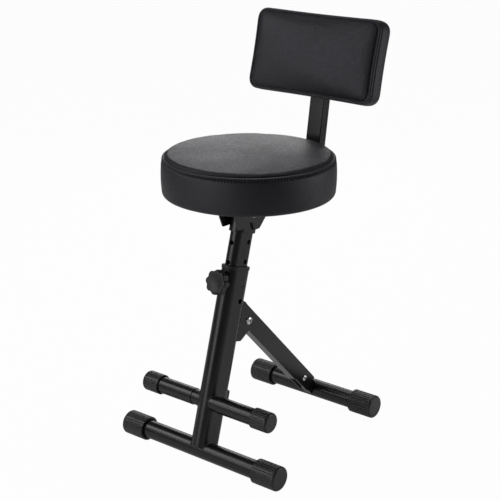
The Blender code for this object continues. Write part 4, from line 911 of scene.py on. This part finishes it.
def plates(steel, plastic, wood):
    for side in ("left", "right"):
        edged(f"hinge_ear_{side}", f"hinge_plate_{side}", steel)
    edged("rear_strut", "strut_channel", steel)
    edged("rear_lug", "strut_tongue", steel)
    edged("fold_rest", "fold_stop", steel)
    edged("seat_plate", "plate_under_seat", steel)
    for side in ("left", "right"):
        edged(f"seat_cheek_{side}", f"cheek_{side}", steel)
    edged("arm_plug", "arm_end_plug", plastic)
    edged("backrest_post_cap", "upright_cap", plastic)
    edged("seat_board", "board_under_seat", wood)
    edged("backrest_board", "board_behind_pad", wood)


def button_bolt(name, head, head_height, shank, length):
    """A button-head bolt with a hexagon socket. Its head stands on the XY plane, its shank runs down."""
    land = head_height * HEAD_LAND
    quarter = arc((0, 0), 1.0, 0, 90, HEAD_DOME_STEPS)
    dome = [(head / 2 * x, land + (head_height - land) * y) for x, y in quarter]
    profile = [(0.0, -length), (shank * POINT_RADIUS, -length)]
    profile += [(shank / 2, -length + shank * POINT_BEVEL), (shank / 2, 0.0)]
    profile += [(head / 2 - land / 2, 0.0), *dome]
    bolt = turned(name, profile, BOLT_STEPS)
    middle = (0.0, 0.0, head_height * HEX_MIDDLE)
    cut_away(bolt, cylinder("hex_socket", 6, head * HEX_RADIUS, head_height, middle))
    soften(bolt, BOLT_EDGE)
    return bolt


def set_bolt(node, sizes, length, place, finish):
    bolt = button_bolt(node + "_button", *sizes, length)
    fit(bolt, finish, node, place=place)


def bolts(finish):
    """Bolts across the stool, then the seat plate's screws, then the backrest's."""
    head_right = Matrix.Rotation(pi / 2, 4, "Y")
    for node, sizes in BOLTS.items():
        low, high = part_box(node)
        middle = (low + high) / 2
        length = high.x - low.x - sizes[1]
        place = Matrix.Translation((high.x - sizes[1], middle.y, middle.z)) @ head_right
        set_bolt(node, sizes, length, place, finish)
    head_down = Matrix.Rotation(pi, 4, "X")
    for corner in ("front_left", "front_right", "rear_left", "rear_right"):
        low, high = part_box(f"seat_screw_{corner}")
        middle = (low + high) / 2
        length = high.z - low.z - SCREW[1]
        place = Matrix.Translation((middle.x, middle.y, low.z + SCREW[1])) @ head_down
        set_bolt(f"seat_screw_{corner}", SCREW, length, place, finish)
    head_back = Matrix.Rotation(-pi / 2, 4, "X")
    for end, height in PAD_SCREWS.items():
        place = Matrix.Translation((0.0, ARM_DEPTH / 2 + BUSH_PLAY, height)) @ head_back
        set_bolt(f"backrest_screw_{end}", SCREW, PAD_SCREW_LENGTH, PAD_PLACE @ place, finish)


def nuts(finish):
    for nut in ("hinge_nut", "strut_nut", "socket_nut", "arm_nut_front", "arm_nut_rear"):
        edged(nut, nut + "_chamfered", finish)


def fill_with_foam(piece, held, pressure):
    """Presses the cover out like foam. Sewn and glued points stay, and no point moves past the limit."""
    rest = [vertex.co.copy() for vertex in piece.data.vertices]
    sewn = piece.vertex_groups.new(name="sewn_and_glued")
    sewn.add(held, 1.0, "REPLACE")
    pick_up(piece)
    bpy.ops.object.modifier_add(type="CLOTH")
    cloth = piece.modifiers[-1]
    foam = cloth.settings
    foam.vertex_group_mass = sewn.name
    foam.quality = CLOTH_QUALITY
    foam.tension_stiffness = CLOTH_STRETCH
    foam.compression_stiffness = CLOTH_STRETCH
    foam.bending_stiffness = CLOTH_BEND
    foam.use_pressure = True
    foam.uniform_pressure_force = pressure
    foam.effector_weights.gravity = 0.0
    cloth.point_cache.frame_start = 1
    cloth.point_cache.frame_end = CLOTH_FRAMES
    for moment in range(1, CLOTH_FRAMES + 1):
        bpy.context.scene.frame_set(moment)
    bpy.ops.object.modifier_apply(modifier=cloth.name)
    bpy.context.scene.frame_set(1)
    piece.vertex_groups.clear()
    for vertex, start in zip(piece.data.vertices, rest):
        move = vertex.co - start
        vertex.co = start + move / (1 + move.length / SWELL_LIMIT)


def ease_creases(piece, panel):
    """Smooths the wrinkles that the filling left in a panel."""
    pick_faces(piece, panel)
    bpy.ops.mesh.vertices_smooth(factor=SMOOTHING_SHARE, repeat=PANEL_SMOOTHING)
    put_down()


def seat_section():
    """Half section of the seat cover, from mid-top to mid-underside, and which of its points are held."""
    section = [
        (SEAT_PANEL_RADIUS * share, SEAT_PANEL_TOP - SEAT_PANEL_FALL * share**SEAT_PANEL_POWER)
        for share in SEAT_PANEL_SHARES
    ]
    section += SEAT_SEAM + SEAT_BAND
    round_centre = (SEAT_BOTTOM_EDGE, SEAT_BOTTOM + SEAT_BOTTOM_ROUND)
    section += arc(round_centre, SEAT_BOTTOM_ROUND, SEAT_BOTTOM_START, -90, SEAT_BOTTOM_STEPS)
    glued = [(BOARD_RADIUS, SEAT_BOTTOM), (BOARD_RADIUS, BOARD_TOP / 2)]
    glued += [(BOARD_RADIUS * share, BOARD_TOP) for share in BOARD_SHARES]
    return section + glued, glued + [SEAT_SEAM[row] for row in SEAT_SEWN]


def on_stitched_strip(centre, normal):
    """Whether a face of the seat cover lies along its row of stitches."""
    low, high = PUCKER_STRIP
    return low < centre.z < high and centre.xy.length > BOARD_RADIUS


def section_point(radius, height):
    """A point of the seat's section, rounded so that it can be found again."""
    return round(radius, SECTION_DIGITS), round(height, SECTION_DIGITS)


def seat_cushion(finish):
    """The round seat: crowned top panel, seam, felled fold, stitched band."""
    section, held_points = seat_section()
    cover = turned("seat_cushion", section, SEAT_SEGMENTS)
    put_in_order(cover.data)
    sewn = {section_point(*point) for point in held_points}
    spots = [section_point(vertex.co.xy.length, vertex.co.z) for vertex in cover.data.vertices]
    held = [number for number, spot in enumerate(spots) if spot in sewn]
    fill_with_foam(cover, held, SEAT_PRESSURE)
    ease_creases(cover, lambda centre, normal: centre.z > SEAT_SEAM[0][1])
    modify(cover, "SUBSURF", levels=SEAT_SUBDIVISIONS, render_levels=SEAT_SUBDIVISIONS)
    pick_faces(cover, on_stitched_strip)
    bpy.ops.mesh.subdivide(number_cuts=PUCKER_CUTS)
    put_down()
    for vertex in cover.data.vertices:
        reach = vertex.co.xy.length
        if vertex.co.z < BOARD_TOP + PLATE_EDGE and reach < BOARD_RADIUS + PLATE_EDGE:
            continue
        vertex.co.z += SOFT_WAVE * noise.noise(vertex.co * SOFT_WAVES_PER_METRE)
        if reach > SEAT_STITCH_RADIUS - PUCKER_REACH:
            turn = atan2(vertex.co.y, vertex.co.x)
            near = exp(-(((vertex.co.z - PUCKER_HEIGHT) / PUCKER_REACH) ** 2))
            needle_hole = (0.5 + 0.5 * cos(SEAT_STITCHES * turn)) ** PUCKER_POWER
            dent = PUCKER_DEPTH * near * needle_hole
            vertex.co.x *= 1 - dent / reach
            vertex.co.y *= 1 - dent / reach
    fit(cover, finish, "seat_pad", place=SEAT_PLACE)


def stitch(name):
    """One stitch along X, lying on the XY plane."""
    put_down()
    bpy.ops.mesh.primitive_uv_sphere_add(
        segments=STITCH_SEGMENTS, ring_count=STITCH_RINGS, radius=1.0, rotation=ALONG_X
    )
    bpy.context.object.scale = (STITCH_THICK / 2, STITCH_THICK / 2, STITCH_LENGTH / 2)
    return named(name)


def sew(name, places, finish, body):
    """A row of stitches, each a copy of one stitch at a place whose X runs along the row."""
    first = stitch(name + "_stitch")
    row = [duplicate(first, f"{name}_{number}", place) for number, place in enumerate(places)]
    bpy.data.objects.remove(first, do_unlink=True)
    pick_up(row[0])
    for copy in row[1:]:
        copy.select_set(True)
    bpy.ops.object.join()
    row[0].name = name
    fit(row[0], finish, body=body)


def place_on(point, along, out):
    """A place with X along a row and Z out of the surface."""
    along = along.normalized()
    out = (out - along * out.dot(along)).normalized()
    across = out.cross(along)
    turn = Matrix((along, across, out)).transposed().to_4x4()
    return Matrix.Translation(point) @ turn


def seat_stitches(finish):
    places = []
    for number in range(SEAT_STITCHES):
        turn = 2 * pi * (number + 0.5) / SEAT_STITCHES
        out = Vector((cos(turn), sin(turn), 0.0))
        point = out * SEAT_STITCH_RADIUS + Vector((0.0, 0.0, SEAT_STITCH_HEIGHT))
        places.append(SEAT_PLACE @ place_on(point, Vector((-out.y, out.x, 0.0)), out))
    sew("seat_stitching", places, finish, body_of("seat_pad"))


def pad_outline(grow, long_points, short_points, corner_points):
    """Points round a backrest section grown from its seam, as (x, z)."""
    corner = max(PAD_CORNER + grow, PAD_LEAST_CORNER)
    half_x = PAD_WIDTH / 2 + grow - corner
    half_z = PAD_HEIGHT / 2 + grow - corner
    centres = [(half_x, half_z), (-half_x, half_z), (-half_x, -half_z), (half_x, -half_z)]
    side_points = [long_points, short_points, long_points, short_points]
    bends = [
        list(arc(centre, corner, 90.0 * turn, 90.0 * turn + 90.0, corner_points))
        for turn, centre in enumerate(centres)
    ]
    points = []
    for turn, bend in enumerate(bends):
        points += bend
        following = bends[(turn + 1) % len(bends)]
        points += drawn_side(Vector(bend[-1]), Vector(following[0]), side_points[turn])
    return points


def drawn_side(first, last, count):
    """Points between two corners, pulled in between them."""
    run = last - first
    inward = Vector((-run.y, run.x)).normalized()
    for step in range(1, count + 1):
        share = step / (count + 1)
        yield tuple(first + run * share + inward * PAD_DRAW * sin(pi * share))


def backrest_cushion(finish):
    """The backrest pad: crowned front panel, seam, felled fold and side band, built from section rings."""
    rings = [[(x, depth, z) for x, z in pad_outline(grow, *PAD_POINTS)] for grow, depth in PAD_SECTIONS]
    count = len(rings[0])
    vertices = [point for ring in rings for point in ring]
    faces = []
    for near in range(0, len(vertices) - count, count):
        for step in range(count):
            following = (step + 1) % count
            faces.append((near + step, near + following, near + count + following, near + count + step))
    mesh = bpy.data.meshes.new("backrest_cushion")
    mesh.from_pydata(vertices, [], faces)
    cover = linked("backrest_cushion", mesh)
    held = []
    for number in PAD_SEWN:
        held += range(number * count, (number + 1) * count)
    open_ends = (PAD_SECTIONS[-1][1], PAD_SECTIONS[0][1])
    for depth in open_ends:
        pick_edges(cover, lambda point: abs(point.y - depth) < SADDLE_PLAY)
        bpy.ops.mesh.fill_grid(span=sum(PAD_POINTS[1:]) + 1)
        put_down()
    edge_x = max(point[0] for point in rings[-1])
    edge_z = max(point[2] for point in rings[-1])
    for vertex in list(cover.data.vertices)[len(vertices):]:
        if vertex.co.y > PAD_STITCH_DEPTH:
            held.append(vertex.index)
            continue
        inward = (1 - (vertex.co.x / edge_x) ** 2) * (1 - (vertex.co.z / edge_z) ** 2)
        vertex.co.y -= PAD_MIDDLE_CROWN * max(inward, 0.0) ** PAD_CROWN_POWER
    close_up(cover)
    fill_with_foam(cover, held, PAD_PRESSURE)
    ease_creases(cover, lambda centre, normal: centre.y < PAD_EASED)
    modify(cover, "SUBSURF", levels=PAD_SUBDIVISIONS, render_levels=PAD_SUBDIVISIONS)
    for vertex in cover.data.vertices:
        if vertex.co.y < PAD_BACK - PUCKER_REACH:
            vertex.co.y += SOFT_WAVE * noise.noise(vertex.co * SOFT_WAVES_PER_METRE)
    fit(cover, finish, "backrest_pad", place=PAD_PLACE)


def backrest_stitches(finish):
    """Stitches round the band behind the fold, evenly spaced along its outline."""
    points = pad_outline(PAD_STITCH_GROWTH, *PAD_STITCH_POINTS)
    outline = [Vector((x, 0.0, z)) for x, z in points]
    places = []
    reach = 0.0
    for start, end in zip(outline, outline[1:] + outline[:1]):
        step = end - start
        while reach < step.length:
            point = start + step.normalized() * reach + Vector((0.0, PAD_STITCH_DEPTH, 0.0))
            out = step.cross(Vector((0.0, 1.0, 0.0)))
            places.append(PAD_PLACE @ place_on(point, step, out))
            reach += STITCH_PITCH
        reach -= step.length
    sew("backrest_stitching", places, finish, body_of("backrest_pad"))


def weld(name, path, body, finish, closed=False):
    """A rippled weld bead along a path."""
    curve = bpy.data.curves.new(name, "CURVE")
    curve.dimensions = "3D"
    curve.bevel_depth = WELD_RADIUS
    curve.bevel_resolution = WELD_RESOLUTION
    curve.use_fill_caps = True
    spline = curve.splines.new("POLY")
    spline.points.add(len(path) - 1)
    spline.use_cyclic_u = closed
    for number, (point, place) in enumerate(zip(spline.points, path)):
        point.co = (*place, 1.0)
        point.radius = WELD_CREST if number % 2 else WELD_VALLEY
    pick_up(linked(name, curve))
    bpy.ops.object.convert(target="MESH")
    bead = bpy.context.object
    close_up(bead)
    fit(bead, finish, body=body)


def leg_side(depth):
    """Half the leg's width at a depth from its axis."""
    past_flat = max(abs(depth) - (LEG_DEPTH - LEG_WIDTH) / 2, 0.0)
    return sqrt((LEG_WIDTH / 2) ** 2 - past_flat**2)


def leg_end(across):
    """Half the leg's depth at a distance beside its axis."""
    return (LEG_DEPTH - LEG_WIDTH) / 2 + sqrt((LEG_WIDTH / 2) ** 2 - across**2)


def spaced(start, end, pitch=WELD_PITCH):
    """Numbers from start to end, about a pitch apart."""
    count = max(round(abs(end - start) / pitch), 1)
    return [start + (end - start) * step / count for step in range(count + 1)]


def weld_on_leg(name, points, finish, closed=False):
    weld(name, [LEG_PLACE @ Vector(point) for point in points], "frame", finish, closed)


def closed_ring(centre, radius, steps):
    """Points round a flat circle, the first not repeated."""
    return list(arc(centre, radius, 0, 360 - 360 / steps, steps - 1))


def welds(finish):
    """Beads where the leg meets base, stub, boss and ears, and where the cheeks meet the seat plate."""
    base = base_on_leg()
    stub_ring = closed_ring(FOOTREST_ON_LEG[1:], STUB_RADIUS, STUB_WELD_STEPS)
    boss_ring = closed_ring(KNOB_ON_LEG[::2], BOSS_RADIUS, BOSS_WELD_STEPS)
    weld_on_leg("boss_weld", [(x, -leg_end(x), z) for x, z in boss_ring], finish, closed=True)
    for side, sign in (("left", -1.0), ("right", 1.0)):
        saddle = []
        for angle in spaced(-BASE_WELD_REACH, BASE_WELD_REACH, WELD_PITCH / BASE_RADIUS):
            y = base.y + BASE_RADIUS * sin(angle)
            saddle.append((sign * leg_side(y), y, base.z + BASE_RADIUS * cos(angle)))
        weld_on_leg(f"base_weld_{side}", saddle, finish)
        stub = [(sign * leg_side(y), y, z) for y, z in stub_ring]
        weld_on_leg(f"stub_weld_{side}", stub, finish, closed=True)
        ear = [(sign * EAR_OUTER, leg_end(EAR_OUTER), z) for z in spaced(*EAR_WELD)]
        weld_on_leg(f"ear_weld_{side}", ear, finish)
        low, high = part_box(f"seat_cheek_{side}")
        edge = high.x if sign > 0 else low.x
        run = spaced(low.y + CHEEK_WELD_INSET, high.y - CHEEK_WELD_INSET)
        cheek = [(edge, y, PLATE_UNDERSIDE) for y in run]
        weld(f"cheek_weld_{side}", cheek, body_of(f"seat_cheek_{side}"), finish)


def stage():
    """A floor that the camera sees as white, with a soft shadow under the stool."""
    put_down()
    bpy.ops.mesh.primitive_plane_add(size=FLOOR_SIZE, location=(0.0, 0.0, 0.0))
    floor = bpy.context.object
    floor.name = "studio_floor"
    paper = Finish("white_studio_floor")
    paper.shade(Base_Color=FLOOR_COLOUR, Roughness=FLOOR_ROUGHNESS, Specular_IOR_Level=0.0)
    seen = paper.add("ShaderNodeLightPath", out="Is Camera Ray")
    mirrored = paper.add("ShaderNodeLightPath", out="Is Glossy Ray")
    passed = paper.add("ShaderNodeLightPath", out="Is Transmission Ray")
    settings = {"operation": "LENGTH"}
    distance = paper.add("ShaderNodeVectorMath", settings, {0: paper.place()}, out="Value")
    near = paper.spread(distance, low=FLOOR_FAR, high=FLOOR_NEAR)
    share = (seen + passed) * FLOOR_SEEN + mirrored * near * FLOOR_MIRRORED
    own = Wire(paper, paper.shader.outputs[0])
    plain = paper.add("ShaderNodeEmission", {}, {"Color": WHITE})
    mix = paper.add("ShaderNodeMixShader", {}, {0: share, 1: own, 2: plain})
    paper.feed(paper.tree.nodes["Material Output"].inputs["Surface"], mix)
    floor.data.materials.append(paper.material)


def surroundings():
    """A dim white studio that the camera sees as pure white."""
    world = bpy.data.worlds.new("white_studio")
    bpy.context.scene.world = world
    world.use_nodes = True
    tree = world.node_tree
    background = tree.nodes["Background"]
    rays = tree.nodes.new("ShaderNodeLightPath")
    level = tree.nodes.new("ShaderNodeMix")
    level.inputs[2].default_value = STUDIO_STRENGTH
    level.inputs[3].default_value = 1.0
    background.inputs["Color"].default_value = WHITE
    tree.links.new(rays.outputs["Is Camera Ray"], level.inputs[0])
    tree.links.new(level.outputs[0], background.inputs["Strength"])


def stand_off(thing, target, turn, rise, distance):
    """Puts a camera or lamp at a distance from a target, turned from its front and raised, and facing it."""
    way = Vector((sin(turn) * cos(rise), -cos(turn) * cos(rise), sin(rise)))
    thing.location = Vector(target) + way * distance
    thing.rotation_euler = way.to_track_quat("Z", "Y").to_euler()


def lights():
    """Softboxes round the stool, all facing it."""
    for name, (turn, rise, power) in SOFTBOXES.items():
        light = bpy.data.lights.new(name, "AREA")
        light.shape = "RECTANGLE"
        light.size = SOFTBOX_WIDTH
        light.size_y = SOFTBOX_HEIGHT
        light.energy = power
        angles = VIEW_TURN + radians(turn), radians(rise)
        stand_off(linked(name, light), LIGHT_AIM, *angles, SOFTBOX_DISTANCE)


def camera():
    data = bpy.data.cameras.new("photograph_view")
    data.lens = LENS
    data.sensor_fit = "HORIZONTAL"
    data.sensor_width = SENSOR
    eye = linked("photograph_view", data)
    stand_off(eye, VIEW_TARGET, VIEW_TURN, VIEW_RISE, VIEW_DISTANCE)
    bpy.context.scene.camera = eye


put_down()
bpy.context.scene.view_settings.view_transform = "Standard"
camera()
stage()
surroundings()
lights()
STEEL = powder_coat()
RUBBER = moulded_rubber()
PLASTIC = moulded_plastic()
ZINC = zinc_plate()
LEATHER = grained_leather()
THREAD = sewing_thread()
WOOD = stained_plywood()

for hidden, coat in (("post_glide", PLASTIC), ("knob_stud", ZINC), ("pivot_spacer", STEEL)):
    node_mesh = frame["nodes"][hidden].data
    node_mesh.materials.clear()
    node_mesh.materials.append(coat.material)

base_tubes(STEEL)
feet(RUBBER)
leg(STEEL)
seat_post(STEEL)
bush(PLASTIC)
knob(PLASTIC)
knob_boss(STEEL)
seat_socket(STEEL)
arm(STEEL)
footrest(STEEL)
plates(STEEL, PLASTIC, WOOD)
bolts(ZINC)
nuts(ZINC)
welds(STEEL)
seat_cushion(LEATHER)
seat_stitches(THREAD)
backrest_cushion(LEATHER)
backrest_stitches(THREAD)
